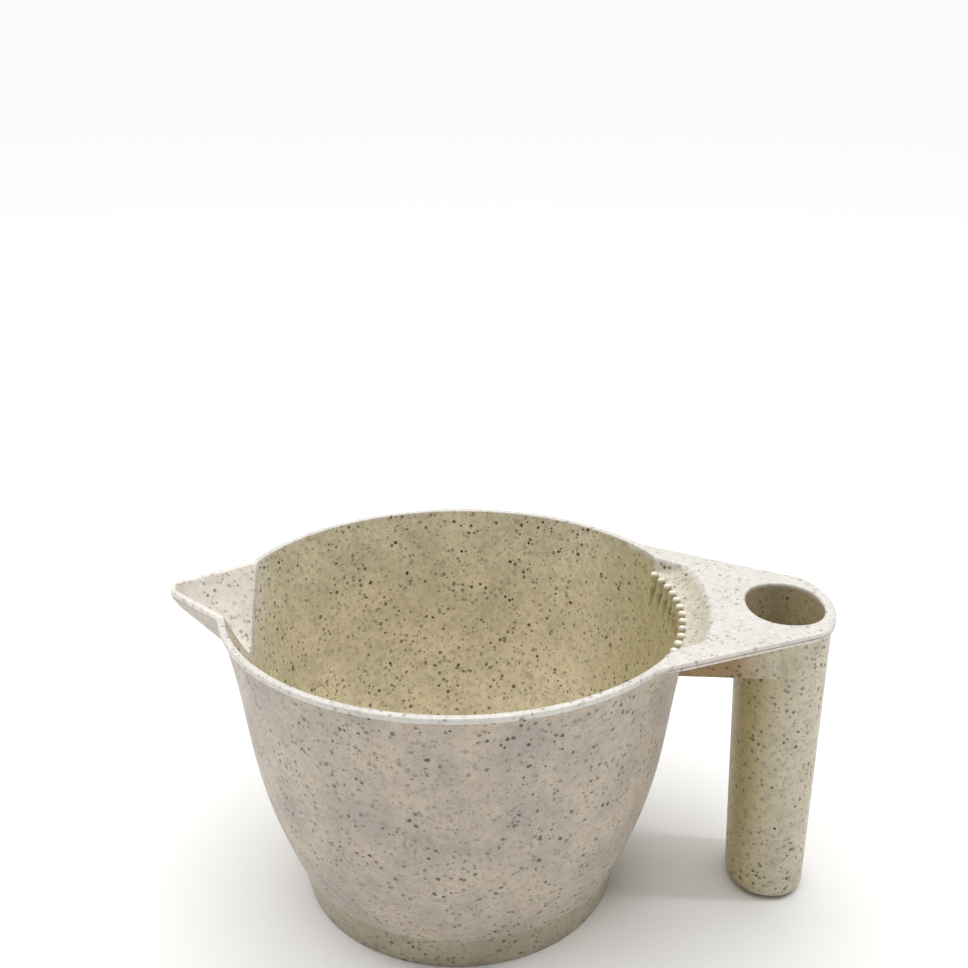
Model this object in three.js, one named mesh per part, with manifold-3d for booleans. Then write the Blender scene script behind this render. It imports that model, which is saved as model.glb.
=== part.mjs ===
// Tint mixing bowl for a hair salon: a round bowl on a foot ring, with a V-shaped pouring spout on
// one side and a deck on the other that carries a hollow grip and a comb for wiping the brush.
// Millimetres, +Z up. +X points from the bowl to the grip, and the XZ plane is a mirror plane.
import * as THREE from 'three';
import { ConvexGeometry } from 'three/addons/geometries/ConvexGeometry.js';
import { mergeVertices } from 'three/addons/utils/BufferGeometryUtils.js';
import Module from 'manifold-3d';

const wasm = await Module();
wasm.setup();

// Bowl wall: the outer face is one cubic curve from the foot crease up to the rim.
const RIM_Z = 88;
const RIM_R = 65;
const LIP_HEIGHT = 1.6;
const WALL = 1.4;
const CREASE = [47.1, 10.6];
const WALL_LOWER_PULL = [61.4, 44.6];
const WALL_UPPER_PULL = [57.2, 55.2];
const WALL_TOP = [64.6, RIM_Z];
const LIP_BOTTOM_Z = RIM_Z - LIP_HEIGHT;
const RIM_INNER_R = WALL_TOP[0] - WALL;
const LIP_CHAMFER = 0.4;
const LIP_FOOT_STEP = 0.2;

// Bowl floor and foot ring.
const FLOOR_Z = 8.7;
const FLOOR_THICKNESS = 1.8;
const FLOOR_DISC_R = 41.3;
const FLOOR_FILLET = 5.1;
const FLOOR_FILLET_END = -0.4;
const FOOT_TOP_R = 46.8;
const FOOT_BOTTOM_R = 44.8;
const FOOT_WALL = 1.6;

// Pouring spout: a V with a straight keel and a rounded tip.
const SPOUT_ROOT_X = -62.5;
const SPOUT_ROOT_HALF_WIDTH = 18.2;
const SPOUT_SIDE_ANGLE = THREE.MathUtils.degToRad(40);
const SPOUT_TIP_X = -80.6;
const SPOUT_TIP_R = 6.2;
const SPOUT_WALL = 1.5;
const KEEL_ROOT_Z = 67.4;
const KEEL_TIP_Z = 83.7;
const GROOVE_ROOT_Z = 70.4;
const GROOVE_TIP_Z = 85.3;
const KEEL_HALF_WIDTH = 0.9;
const KEEL_SETBACK = 1.2;
const GROOVE_SETBACK = 3;
const SPOUT_INNER_X = -50;

// Deck between the rim and the grip.
const DECK_THICKNESS = 2.2;
const DECK_BOTTOM_Z = RIM_Z - DECK_THICKNESS;
const DECK_SIDE_NORMAL = THREE.MathUtils.degToRad(63.5);
const DECK_SIDE_DISTANCE = 58.2;
const DECK_SHOULDER_R = 12;
const DECK_END_X = 102;
const DECK_END_R = 30;
const DECK_CORNER_R = 8;
const DECK_ROOT_X = 40;

// Drain recess in the deck, which slopes down to the comb.
const RECESS_R = 69;
const RECESS_MID = [66.2, 85.4];
const RECESS_EDGE_Z = 84;
const RECESS_CORNER = [64.8, 23.7];
const RECESS_MOUTH = [48, 34.3];
const DISH_WALL = 1.8;
const RECESS_OVERSHOOT = 4;

// Wiping comb: ribs on the inner wall with round tops.
const TOOTH_COUNT = 13;
const TOOTH_PITCH = THREE.MathUtils.degToRad(4.11);
const TOOTH_R = 1.05;
const TOOTH_CIRCLE_R = 61.35;
const TOOTH_BOTTOM_Z = 73.5;
const TOOTH_SHOULDER_Z = 83.9;
const TOOTH_TOP_Z = 84.6;
const TOOTH_CAP_SHARE = 0.7;
const TOOTH_REACH = 4;

// Hollow grip: a rounded oval tube that narrows downwards.
const GRIP_X = 88.85;
const GRIP_LEAN = 1.1;
const GRIP_OUTER_TOP = [12.5, 14.9];
const GRIP_OUTER_BOTTOM = [10.8, 13.3];
const GRIP_INNER_TOP = [10.3, 12.85];
const GRIP_INNER_BOTTOM = [8.8, 11.3];
const GRIP_BOTTOM_Z = 1;
const GRIP_FLOOR_Z = 3;
const GRIP_EDGE = 1.2;
const OVAL_POWER = 2.2;
const OVAL_SIDES = 40;

// Side webs under the deck.
const WEB_FACE_Y = 14.5;
const WEB_THICKNESS = 1.4;
const WEB_BOTTOM_Z = 72.4;
const WEB_ROOT_X = 55;

// Clearances between solids, overshoots of the cutting shapes and steps of the round ones.
const GAP = 0.3;
const ABOVE_RIM_Z = RIM_Z + 2;
const CUT_BOTTOM_Z = 70;
const CUT_REACH = 90;
const CUT_OVERLAP = 0.01;
const TURNS = 64;
const WALL_STEPS = 9;
const FILLET_STEPS = 4;
const CORNER_STEPS = 5;
const TIP_STEPS = 6;

// ---- solids ----

function volumeOf(position, index) {
  const [a, b, c] = [new THREE.Vector3(), new THREE.Vector3(), new THREE.Vector3()];
  let sum = 0;
  for (let i = 0; i < index.length; i += 3) {
    a.fromBufferAttribute(position, index[i]);
    b.fromBufferAttribute(position, index[i + 1]);
    c.fromBufferAttribute(position, index[i + 2]);
    sum += a.dot(b.cross(c));
  }
  return sum / 6;
}

// Turns any closed three.js geometry into a manifold solid with its faces pointing out.
function solid(source) {
  const plain = source.clone();
  plain.deleteAttribute('normal');
  plain.deleteAttribute('uv');
  const merged = mergeVertices(plain, 1e-4);
  const index = Array.from(merged.index.array);
  const kept = [];
  for (let i = 0; i < index.length; i += 3) {
    const [a, b, c] = index.slice(i, i + 3);
    if (a !== b && b !== c && c !== a) kept.push(a, b, c);
  }
  if (volumeOf(merged.attributes.position, kept) < 0) kept.reverse();
  return new wasm.Manifold(new wasm.Mesh({
    numProp: 3,
    vertProperties: new Float32Array(merged.attributes.position.array),
    triVerts: new Uint32Array(kept),
  }));
}

function geometryOf(manifold) {
  const mesh = manifold.getMesh();
  const geometry = new THREE.BufferGeometry();
  geometry.setAttribute('position', new THREE.BufferAttribute(mesh.vertProperties, 3));
  geometry.setIndex(new THREE.BufferAttribute(mesh.triVerts, 1));
  geometry.computeVertexNormals();
  return geometry;
}

// A solid of revolution about the bowl axis from [radius, z] points.
function turned(profile) {
  const points = profile.map(([r, z]) => new THREE.Vector2(r, z));
  return solid(new THREE.LatheGeometry(points, TURNS).rotateX(Math.PI / 2));
}

function ring(profile) {
  return turned([...profile, profile[0]]);
}

function prism(outline, bottomZ, topZ, holes = []) {
  const shape = new THREE.Shape(outline);
  shape.holes = holes.map((hole) => new THREE.Path(hole));
  const geometry = new THREE.ExtrudeGeometry(shape, { depth: topZ - bottomZ, bevelEnabled: false });
  return solid(geometry.translate(0, 0, bottomZ));
}

function box(low, high) {
  const size = high.map((value, i) => value - low[i]);
  const middle = high.map((value, i) => (value + low[i]) / 2);
  return solid(new THREE.BoxGeometry(...size).translate(...middle));
}

function hull(points) {
  return solid(new ConvexGeometry(points.map((point) => new THREE.Vector3(...point))));
}

function arc(cx, cy, r, from, to, steps) {
  const points = [];
  for (let i = 0; i <= steps; i++) {
    const angle = THREE.MathUtils.lerp(from, to, i / steps);
    points.push(new THREE.Vector2(cx + r * Math.cos(angle), cy + r * Math.sin(angle)));
  }
  return points;
}

function mirrored(points) {
  return points.map((point) => new THREE.Vector2(point.x, -point.y)).reverse();
}

// ---- bowl wall ----

const wallCurve = new THREE.CubicBezierCurve(
  ...[CREASE, WALL_LOWER_PULL, WALL_UPPER_PULL, WALL_TOP].map(([r, z]) => new THREE.Vector2(r, z)),
);

// Points on the wall, offset along its normal: 0 is the outer face, -WALL the inner face.
function wallPoints(offset) {
  const points = [];
  for (let i = 0; i <= WALL_STEPS; i++) {
    const t = i / WALL_STEPS;
    const tangent = wallCurve.getTangent(t);
    const point = wallCurve.getPoint(t);
    points.push([point.x + tangent.y * offset, point.y - tangent.x * offset]);
  }
  return points;
}

// The same line cut off level at a height, so that it ends on a flat face.
function wallUpTo(points, topZ) {
  const kept = points.filter(([, z]) => z < topZ - GAP);
  const [r0, z0] = points[kept.length - 1];
  const [r1, z1] = points[kept.length] ?? points[kept.length - 1];
  return [...kept, [r0 + (r1 - r0) * (topZ - z0) / (z1 - z0), topZ]];
}

// Inner wall line from the top down to the floor fillet.
function innerWall(offset, topZ) {
  const filletTop = FLOOR_Z + FLOOR_FILLET;
  return wallUpTo(wallPoints(offset), topZ).filter(([, z]) => z > filletTop).reverse();
}

function floorFillet() {
  const centreZ = FLOOR_Z + FLOOR_FILLET;
  return arc(FLOOR_DISC_R, centreZ, FLOOR_FILLET, FLOOR_FILLET_END, -Math.PI / 2, FILLET_STEPS)
    .map((point) => [point.x, point.y]);
}

// Everything inside the outer face of the bowl, grown by a clearance.
function bowlBody(clearance) {
  const side = wallUpTo(wallPoints(clearance), LIP_BOTTOM_Z - clearance);
  const lip = [[RIM_R + clearance, LIP_BOTTOM_Z - clearance], [RIM_R + clearance, ABOVE_RIM_Z]];
  return turned([[0, 0], [side[0][0], 0], ...side, ...lip, [0, ABOVE_RIM_Z]]);
}

// The same without the lip: level with the top of the wall it steps in to the rim's inner edge.
function bowlBodyBelowDeck(clearance) {
  const side = wallUpTo(wallPoints(clearance), LIP_BOTTOM_Z);
  const inner = [[RIM_INNER_R, LIP_BOTTOM_Z], [RIM_INNER_R, ABOVE_RIM_Z]];
  return turned([[0, 0], [side[0][0], 0], ...side, ...inner, [0, ABOVE_RIM_Z]]);
}

function bowlVoid(clearance, topZ) {
  const side = innerWall(-WALL - clearance, topZ);
  return turned([[0, topZ], ...side, ...floorFillet(), [0, FLOOR_Z]]);
}

// ---- spout ----

// One V-shaped solid: its rim outline at the top and a keel line below it.
function spoutVee(inset, rootZ, tipZ, topZ, setback) {
  const slope = (tipZ - rootZ) / (SPOUT_ROOT_X - SPOUT_TIP_X);
  const widthAt = (x) => SPOUT_ROOT_HALF_WIDTH + (x - SPOUT_ROOT_X) * Math.tan(SPOUT_SIDE_ANGLE)
    - inset / Math.cos(SPOUT_SIDE_ANGLE);
  const tipR = SPOUT_TIP_R - inset;
  const sweep = Math.PI / 2 - SPOUT_SIDE_ANGLE;
  const tip = arc(SPOUT_TIP_X + SPOUT_TIP_R, 0, tipR, Math.PI - sweep, Math.PI + sweep, TIP_STEPS);
  const levels = topZ > RIM_Z ? [RIM_Z, topZ] : [RIM_Z];
  const innerHalf = widthAt(SPOUT_INNER_X);
  const points = [[SPOUT_INNER_X, 0, rootZ - (SPOUT_INNER_X - SPOUT_ROOT_X) * slope]];
  for (const y of [-KEEL_HALF_WIDTH, KEEL_HALF_WIDTH]) points.push([SPOUT_TIP_X + setback, y, tipZ]);
  for (const z of levels) {
    points.push([SPOUT_INNER_X, innerHalf, z], [SPOUT_INNER_X, -innerHalf, z]);
    points.push(...tip.map((point) => [point.x, point.y, z]));
  }
  return hull(points);
}

const spoutOutside = spoutVee(0, KEEL_ROOT_Z, KEEL_TIP_Z, RIM_Z, KEEL_SETBACK);
const spoutGroove = spoutVee(SPOUT_WALL, GROOVE_ROOT_Z, GROOVE_TIP_Z, ABOVE_RIM_Z, GROOVE_SETBACK);

// ---- deck ----

// The deck's side line, its shoulder arc to the rim and its corner arc to the blunt end.
function deckHalfOutline() {
  const normal = new THREE.Vector2(Math.cos(DECK_SIDE_NORMAL), Math.sin(DECK_SIDE_NORMAL));
  const shoulderReach = RIM_R + DECK_SHOULDER_R;
  const shoulderTurn = Math.acos((DECK_SIDE_DISTANCE + DECK_SHOULDER_R) / shoulderReach);
  const shoulderAngle = DECK_SIDE_NORMAL - shoulderTurn;
  const shoulder = arc(
    shoulderReach * Math.cos(shoulderAngle), shoulderReach * Math.sin(shoulderAngle),
    DECK_SHOULDER_R, shoulderAngle + Math.PI, DECK_SIDE_NORMAL + Math.PI, CORNER_STEPS,
  );
  // The corner centre lies on a line inside the side line and on a circle inside the end arc.
  const endX = DECK_END_X - DECK_END_R;
  const along = new THREE.Vector2(normal.y, -normal.x);
  const inset = DECK_SIDE_DISTANCE - DECK_CORNER_R;
  const toEnd = endX * normal.x - inset;
  const alongEnd = endX * along.x;
  const reach = Math.sqrt((DECK_END_R - DECK_CORNER_R) ** 2 - toEnd ** 2);
  const corner = normal.clone().multiplyScalar(inset).addScaledVector(along, alongEnd + reach);
  const endTurn = Math.atan2(corner.y, corner.x - endX);
  return {
    shoulderAngle,
    points: [
      ...shoulder,
      ...arc(corner.x, corner.y, DECK_CORNER_R, DECK_SIDE_NORMAL, endTurn, CORNER_STEPS),
      ...arc(endX, 0, DECK_END_R, endTurn, 0, CORNER_STEPS).slice(1, -1),
    ],
  };
}

function oval(semi, centreX) {
  const points = [];
  for (let i = 0; i < OVAL_SIDES; i++) {
    const angle = 2 * Math.PI * i / OVAL_SIDES;
    const [c, s] = [Math.cos(angle), Math.sin(angle)];
    const x = centreX + semi[0] * Math.sign(c) * Math.abs(c) ** (2 / OVAL_POWER);
    points.push(new THREE.Vector2(x, semi[1] * Math.sign(s) * Math.abs(s) ** (2 / OVAL_POWER)));
  }
  return points;
}

const half = deckHalfOutline();
const deckOutline = [
  half.points[0].clone().multiplyScalar(DECK_ROOT_X / half.points[0].x),
  ...half.points,
  new THREE.Vector2(DECK_END_X, 0),
];
deckOutline.push(...mirrored(deckOutline.slice(0, -1)));

// The part of the deck that drains, open to the bowl. Its sloping floor ends it at the back.
function recessOutline(margin) {
  const [mouthX, mouthY] = RECESS_MOUTH;
  const [cornerX, cornerY] = RECESS_CORNER;
  const side = [
    new THREE.Vector2(mouthX, mouthY + margin),
    new THREE.Vector2(cornerX, cornerY + margin),
    new THREE.Vector2(RECESS_R + RECESS_OVERSHOOT, cornerY + margin),
  ];
  return [...side, ...mirrored(side)];
}

// Space above the sloping floor of the recess, or below it when it is lowered.
function aboveRecessFloor(drop) {
  const [midR, midZ] = RECESS_MID;
  const edgeZ = RECESS_EDGE_Z - drop;
  const beyond = RECESS_R + RECESS_OVERSHOOT;
  return turned([
    [0, edgeZ], [RIM_INNER_R, edgeZ], [midR, midZ - drop], [RECESS_R, RIM_Z - drop],
    [beyond, RIM_Z - drop], [beyond, ABOVE_RIM_Z], [0, ABOVE_RIM_Z],
  ]);
}

const recess = prism(recessOutline(0), CUT_BOTTOM_Z, ABOVE_RIM_Z).intersect(aboveRecessFloor(0));
const dishZone = prism(recessOutline(DISH_WALL), CUT_BOTTOM_Z, RIM_Z)
  .intersect(aboveRecessFloor(DISH_WALL));

function handleDeck() {
  const hole = oval(GRIP_INNER_TOP, GRIP_X);
  const plate = prism(deckOutline, DECK_BOTTOM_Z, RIM_Z, [hole]);
  return plate.add(dishZone).subtract(recess).subtract(bowlBodyBelowDeck(GAP));
}

// ---- grip ----

// An oval bar whose section changes evenly from its bottom to its top.
function ovalBar(bottomSemi, topSemi, bottomZ, topZ) {
  const shape = new THREE.Shape(oval([1, 1], 0));
  const geometry = new THREE.ExtrudeGeometry(shape, { depth: 1, bevelEnabled: false });
  const position = geometry.attributes.position;
  for (let i = 0; i < position.count; i++) {
    const t = position.getZ(i);
    const z = THREE.MathUtils.lerp(bottomZ, topZ, t);
    const centre = GRIP_X + GRIP_LEAN * (1 - z / RIM_Z);
    const x = centre + position.getX(i) * THREE.MathUtils.lerp(bottomSemi[0], topSemi[0], t);
    const y = position.getY(i) * THREE.MathUtils.lerp(bottomSemi[1], topSemi[1], t);
    position.setXYZ(i, x, y, z);
  }
  return solid(geometry);
}

function shrunk(semi, by) {
  return semi.map((value) => value - by);
}

function gripOutside(clearance) {
  const foot = shrunk(GRIP_OUTER_BOTTOM, -clearance);
  const edgeZ = GRIP_BOTTOM_Z + GRIP_EDGE;
  const end = ovalBar(shrunk(foot, GRIP_EDGE), foot, GRIP_BOTTOM_Z, edgeZ);
  return end.add(ovalBar(foot, shrunk(GRIP_OUTER_TOP, -clearance), edgeZ, DECK_BOTTOM_Z));
}

function gripTube() {
  return gripOutside(0).subtract(
    ovalBar(GRIP_INNER_BOTTOM, GRIP_INNER_TOP, GRIP_FLOOR_Z, DECK_BOTTOM_Z + CUT_OVERLAP),
  );
}

// ---- remaining parts ----

function bowlShell() {
  const outer = wallUpTo(wallPoints(0), LIP_BOTTOM_Z);
  const underZ = FLOOR_Z - FLOOR_THICKNESS;
  const seatR = FOOT_TOP_R - FOOT_WALL - GAP;
  const plugR = seatR - (FOOT_TOP_R - FOOT_BOTTOM_R) * (1 - underZ / CREASE[1]);
  const profile = [
    [0, underZ], [plugR, underZ], [seatR, CREASE[1]], ...outer,
    ...innerWall(-WALL, LIP_BOTTOM_Z), ...floorFillet(), [0, FLOOR_Z],
  ];
  return turned(profile).subtract(spoutGroove).subtract(recess);
}

function footRing() {
  return ring([
    [FOOT_BOTTOM_R, 0], [FOOT_TOP_R, CREASE[1]],
    [FOOT_TOP_R - FOOT_WALL, CREASE[1]], [FOOT_BOTTOM_R - FOOT_WALL, 0],
  ]);
}

// The rim's lip runs from the deck's shoulder to the spout, once on each side.
function rimLip(side) {
  const chamferZ = RIM_Z - LIP_CHAMFER;
  const whole = ring([
    [RIM_INNER_R - LIP_FOOT_STEP, LIP_BOTTOM_Z], [RIM_R, LIP_BOTTOM_Z],
    [RIM_R, chamferZ], [RIM_R - LIP_CHAMFER, RIM_Z],
    [RIM_INNER_R + LIP_CHAMFER, RIM_Z], [RIM_INNER_R, chamferZ],
  ]);
  const spread = CUT_REACH * Math.tan(half.shoulderAngle + GAP / RIM_R);
  const wedge = [[0, 0], [CUT_REACH, -spread], [CUT_REACH, spread]];
  const outline = wedge.map(([x, y]) => new THREE.Vector2(x, y));
  const deckSector = prism(outline, CUT_BOTTOM_Z, ABOVE_RIM_Z);
  const otherY = side > 0 ? [-CUT_REACH, 0] : [0, CUT_REACH];
  const otherSide = box(
    [-CUT_REACH, otherY[0], CUT_BOTTOM_Z], [CUT_REACH, otherY[1], ABOVE_RIM_Z],
  );
  return whole.subtract(deckSector).subtract(spoutGroove).subtract(otherSide);
}

function pouringSpout() {
  return spoutOutside.subtract(spoutGroove).subtract(bowlBody(GAP));
}

function deckWeb(side) {
  const inner = side * (WEB_FACE_Y - WEB_THICKNESS);
  const outer = side * WEB_FACE_Y;
  const sheet = box(
    [WEB_ROOT_X, Math.min(inner, outer), WEB_BOTTOM_Z], [GRIP_X, Math.max(inner, outer), DECK_BOTTOM_Z],
  );
  const dishSpace = aboveRecessFloor(DISH_WALL + GAP);
  return sheet.subtract(bowlBody(GAP)).subtract(gripOutside(GAP)).subtract(dishSpace);
}

// A rib with a round nose towards the bowl axis and a domed top, cut to the inner wall.
function combTooth(angle) {
  const section = (r) => [
    ...arc(TOOTH_CIRCLE_R, 0, r, Math.PI / 2, 3 * Math.PI / 2, TIP_STEPS),
    new THREE.Vector2(TOOTH_CIRCLE_R + TOOTH_REACH, -r),
    new THREE.Vector2(TOOTH_CIRCLE_R + TOOTH_REACH, r),
  ];
  const post = prism(section(TOOTH_R), TOOTH_BOTTOM_Z, TOOTH_SHOULDER_Z);
  const cap = prism(section(TOOTH_R * TOOTH_CAP_SHARE), TOOTH_SHOULDER_Z, TOOTH_TOP_Z);
  const turn = THREE.MathUtils.radToDeg(angle);
  return post.add(cap).rotate([0, 0, turn]).intersect(bowlVoid(GAP, RIM_Z));
}

// ---- assembly ----

function plastic(color, roughness) {
  return new THREE.MeshStandardMaterial({ color, roughness, metalness: 0 });
}

const satin = plastic('#d9d1c3', 0.45);
const deckFinish = plastic('#e6e2d9', 0.4);
const footFinish = plastic('#c9c7b0', 0.4);

// The origin is below the middle of the whole length, so the bowl axis lies off it.
const bowl = new THREE.Group();
bowl.position.x = -(DECK_END_X + SPOUT_TIP_X) / 2;

function place(name, manifold, material) {
  const mesh = new THREE.Mesh(geometryOf(manifold), material);
  mesh.name = name;
  bowl.add(mesh);
}

place('bowl_shell', bowlShell(), satin);
place('foot_ring', footRing(), footFinish);
place('rim_lip_front', rimLip(-1), deckFinish);
place('rim_lip_back', rimLip(1), deckFinish);
place('pouring_spout', pouringSpout(), satin);
place('handle_deck', handleDeck(), deckFinish);
place('deck_web_front', deckWeb(-1), satin);
place('deck_web_back', deckWeb(1), satin);
place('grip_tube', gripTube(), satin);
for (let i = 0; i < TOOTH_COUNT; i++) {
  const name = `comb_tooth_${String(i + 1).padStart(2, '0')}`;
  place(name, combTooth((i - (TOOTH_COUNT - 1) / 2) * TOOTH_PITCH), deckFinish);
}

export default new THREE.Group().add(bowl);
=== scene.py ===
"""Tint mixing bowl in speckled wheat-straw plastic: bowl, foot, spout, comb, deck and grip.

Run as a script. Lengths are in metres. Shapes are worked out about the bowl's own axis and are
moved to the frame's origin when their mesh is made.
"""

import math

import bpy
import numpy as np
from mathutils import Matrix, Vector
from mathutils.geometry import delaunay_2d_cdt


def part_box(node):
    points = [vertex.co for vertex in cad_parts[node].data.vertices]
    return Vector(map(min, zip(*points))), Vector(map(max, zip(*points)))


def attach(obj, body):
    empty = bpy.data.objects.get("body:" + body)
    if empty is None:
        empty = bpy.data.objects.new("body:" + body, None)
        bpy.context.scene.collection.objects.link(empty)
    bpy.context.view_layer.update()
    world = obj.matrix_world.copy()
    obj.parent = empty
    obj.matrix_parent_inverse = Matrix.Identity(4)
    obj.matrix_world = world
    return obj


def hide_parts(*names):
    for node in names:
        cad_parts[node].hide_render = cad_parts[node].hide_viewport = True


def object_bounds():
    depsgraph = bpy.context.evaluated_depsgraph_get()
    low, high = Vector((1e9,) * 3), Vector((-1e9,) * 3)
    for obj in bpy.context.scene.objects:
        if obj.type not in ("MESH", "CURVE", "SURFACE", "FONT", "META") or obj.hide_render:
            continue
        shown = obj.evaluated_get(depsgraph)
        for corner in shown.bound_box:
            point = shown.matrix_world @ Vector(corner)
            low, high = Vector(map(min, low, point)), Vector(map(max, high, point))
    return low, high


bl_info = {
    "name": "Tint mixing bowl",
    "version": (1, 0, 0),
    "blender": (4, 5, 0),
    "location": "3D View > Sidebar > Tint Bowl",
    "description": "Builds a hair colour mixing bowl with a spout, a comb and a brush-holding grip",
    "category": "Object",
}

MM = 0.001
BODY = "root"

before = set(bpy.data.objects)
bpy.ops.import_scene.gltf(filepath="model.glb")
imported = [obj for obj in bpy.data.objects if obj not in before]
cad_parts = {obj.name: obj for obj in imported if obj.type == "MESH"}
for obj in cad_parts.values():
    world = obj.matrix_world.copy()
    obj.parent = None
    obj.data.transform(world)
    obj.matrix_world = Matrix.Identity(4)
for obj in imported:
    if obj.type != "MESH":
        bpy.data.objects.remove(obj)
CAD_LOW, CAD_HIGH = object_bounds()
FOOT_LOW, FOOT_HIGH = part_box("foot_ring")
GRIP_LOW, GRIP_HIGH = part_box("grip_tube")
WEB_LOW, WEB_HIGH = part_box("deck_web_back")
_, TOOTH_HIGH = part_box("comb_tooth_06")

# Places that the frame gives, about the bowl's axis.
AXIS_X = (FOOT_LOW.x + FOOT_HIGH.x) / 2
RIM_Z = CAD_HIGH.z
RIM_R = CAD_HIGH.y
SPOUT_TIP_X = CAD_LOW.x - AXIS_X
DECK_END_X = CAD_HIGH.x - AXIS_X
CREASE_Z = FOOT_HIGH.z
FOOT_TOP_R = (FOOT_HIGH.x - FOOT_LOW.x) / 2
GRIP_TOP_Z = GRIP_HIGH.z
GRIP_BOTTOM_Z = GRIP_LOW.z
WEB_BOTTOM_Z = WEB_LOW.z
WEB_INNER_Y = WEB_LOW.y
WEB_OUTER_Y = WEB_HIGH.y
TOOTH_TOP_Z = TOOTH_HIGH.z

# Outer face of the bowl wall as one cubic curve of (radius, height), crease to rim.
WALL_CURVE = [
    (47.1 * MM, CREASE_Z),
    (61.4 * MM, 44.6 * MM),
    (57.2 * MM, 55.2 * MM),
    (64.6 * MM, RIM_Z),
]
ABOVE_RIM_Z = RIM_Z + 2 * MM

# Spout: how far in it reaches, its upturned nose and how softly it leaves the rim.
SPOUT_UP_TO_X = -40 * MM
SPOUT_ROOT_X = -50 * MM
SPOUT_NOSE = 3 * MM
SPOUT_CREASE = 0.5 * MM
NARROWEST = 0.05 * MM

# Drain recess: its end walls run from the corner to the mouth, seen from above.
RECESS_FROM_X = 40 * MM
RECESS_START_R = 63.2 * MM
RECESS_CORNER = np.array([64.8, 23.7]) * MM
RECESS_MOUTH = np.array([48.0, 34.3]) * MM
RECESS_END_SLOPE = 2.4
RECESS_FIRST_SLOPE = 0.33
RECESS_CREASE = 0.8 * MM
DISH_CREASE = 1.0 * MM
DECK_THICKENS_OVER = 4 * MM

# Finishes of the deck: faces this low are the recess or the mouth, by their distance from the
# outer edge and from the mouth; faces this near the outer edge are its side.
LOW_BY = 0.3 * MM
EDGE_BAND = 2.5 * MM
MOUTH_BAND = 1.5 * MM
SIDE_BAND = 0.1 * MM

# Grip: an oval between an ellipse and a box, leaning outwards towards its foot.
GRIP_X = 88.85 * MM
GRIP_LEAN = 1.1 * MM
OVAL_POWER = 2.2

# Webs: radius of their lower edges, how far they run into the wall and into the deck, and how far
# they stay below the recess.
WEB_ROUND = 0.45 * MM
WEB_IN_WALL = 0.7 * MM
WEB_IN_DECK = 0.3 * MM
WEB_BELOW_RECESS = 0.9 * MM

# Comb teeth: depth from the nose's centre to the back, how far they go into the wall and how
# much of what is deeper is pressed back to there; width of the tip; and the knot as pairs of
# height above its middle and width, both widths as shares of the tooth's.
TOOTH_REACH = 1.6 * MM
TOOTH_IN_WALL = 0.4 * MM
TOOTH_PRESSED = 0.95
TOOTH_TIP = 0.08
TOOTH_KNOT = ((-0.7 * MM, 1.0), (-0.3 * MM, 1.3), (0.1 * MM, 1.35), (0.6 * MM, 1.0))

# Foot and floor of the bowl: radius of the foot's corners, where the floor's fillet meets the
# wall, where its polish starts, and the step of the underside inside the foot.
FOOT_CORNER_R = 0.5 * MM
FILLET_TOP = -0.4
POLISH_FROM = math.radians(-50)
UNDER_STEP = 1 * MM
UNDER_DROP = 0.6 * MM

# Divisions of the meshes.
WALL_ROWS = 44
FILLET_ROWS = 12
GRIP_ROWS = 40
GRIP_COLUMNS = 144
GRIP_EDGE_ROWS = 9
WEB_COLUMNS = 40
LIP_COLUMNS = 200
MOUTH_POINTS = 120
DECK_ROOT_POINTS = 150
SPOUT_ROOT_POINTS = 110
CUT_POINTS = 5
DECK_EDGE_SPACING = 0.7 * MM
DECK_SPACING = 1.3 * MM
RECESS_SPACING = 0.5 * MM
RECESS_MARGIN = 1.2 * MM
RECESS_CLEAR = 0.8 * MM
SPOUT_SPACING = 0.45 * MM
SPOUT_AREA = ((SPOUT_TIP_X, -24 * MM), (SPOUT_ROOT_X, 24 * MM))
DECK_AREA = ((45 * MM, -45 * MM), (DECK_END_X, 45 * MM))
RECESS_AREA = ((52 * MM, -34 * MM), (72 * MM, 34 * MM))
POLE_R = 0.02 * MM
FLOOR_RINGS = (0.97, 0.75, 0.5, 0.25)
CAP_SCALES = (0.01, 0.5, 0.85)
SHARP_FROM = math.radians(40)
RIM_ROUNDS = 60
OVAL_POINTS = 1440

# Rows of points beside a rounded edge, in shares of its radius; how many radii away the other
# points stay; and the least distance of any point from an outline.
EDGE_SHARES = (0.06, 0.2, 0.42, 0.7, 1.0, 1.5)
EDGE_CLEAR = 1.7
APART = 0.01 * MM

# Grain of the straw plastic. The pairs say where in a noise pattern something starts and is full.
FINE_SPECK_CELL = 1.0 * MM
FINE_SPECK_R = 0.46 * MM
FINE_SHARE = 0.9
FINE_STRENGTH = 0.6
BOLD_SPECK_CELL = 1.55 * MM
BOLD_SPECK_R = 0.86 * MM
BOLD_SHARE = 0.88
SMALLEST_SPECK = 0.45
CLOUD_GRAIN = 13 * MM
CLOUD_RANGE = (0.38, 0.64)
CROWD_GRAIN = 8 * MM
CROWD_RANGE = (0.36, 0.58)
SPARSEST = 0.35
DUST_GRAIN = 2.2 * MM
DUST_RANGE = (0.42, 0.7)
DUST_STRENGTH = 0.24
SKIN_GRAIN = 0.8 * MM
SKIN_DEPTH = 0.06 * MM
GLOW_DEPTH = 1.5 * MM
SHEEN_RANGE = (0.3, 0.7)
SHEEN_SHARES = (0.92, 1.08)
WOBBLE_GRAIN = 1.1 * MM
WOBBLE = 0.8 * MM

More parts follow.
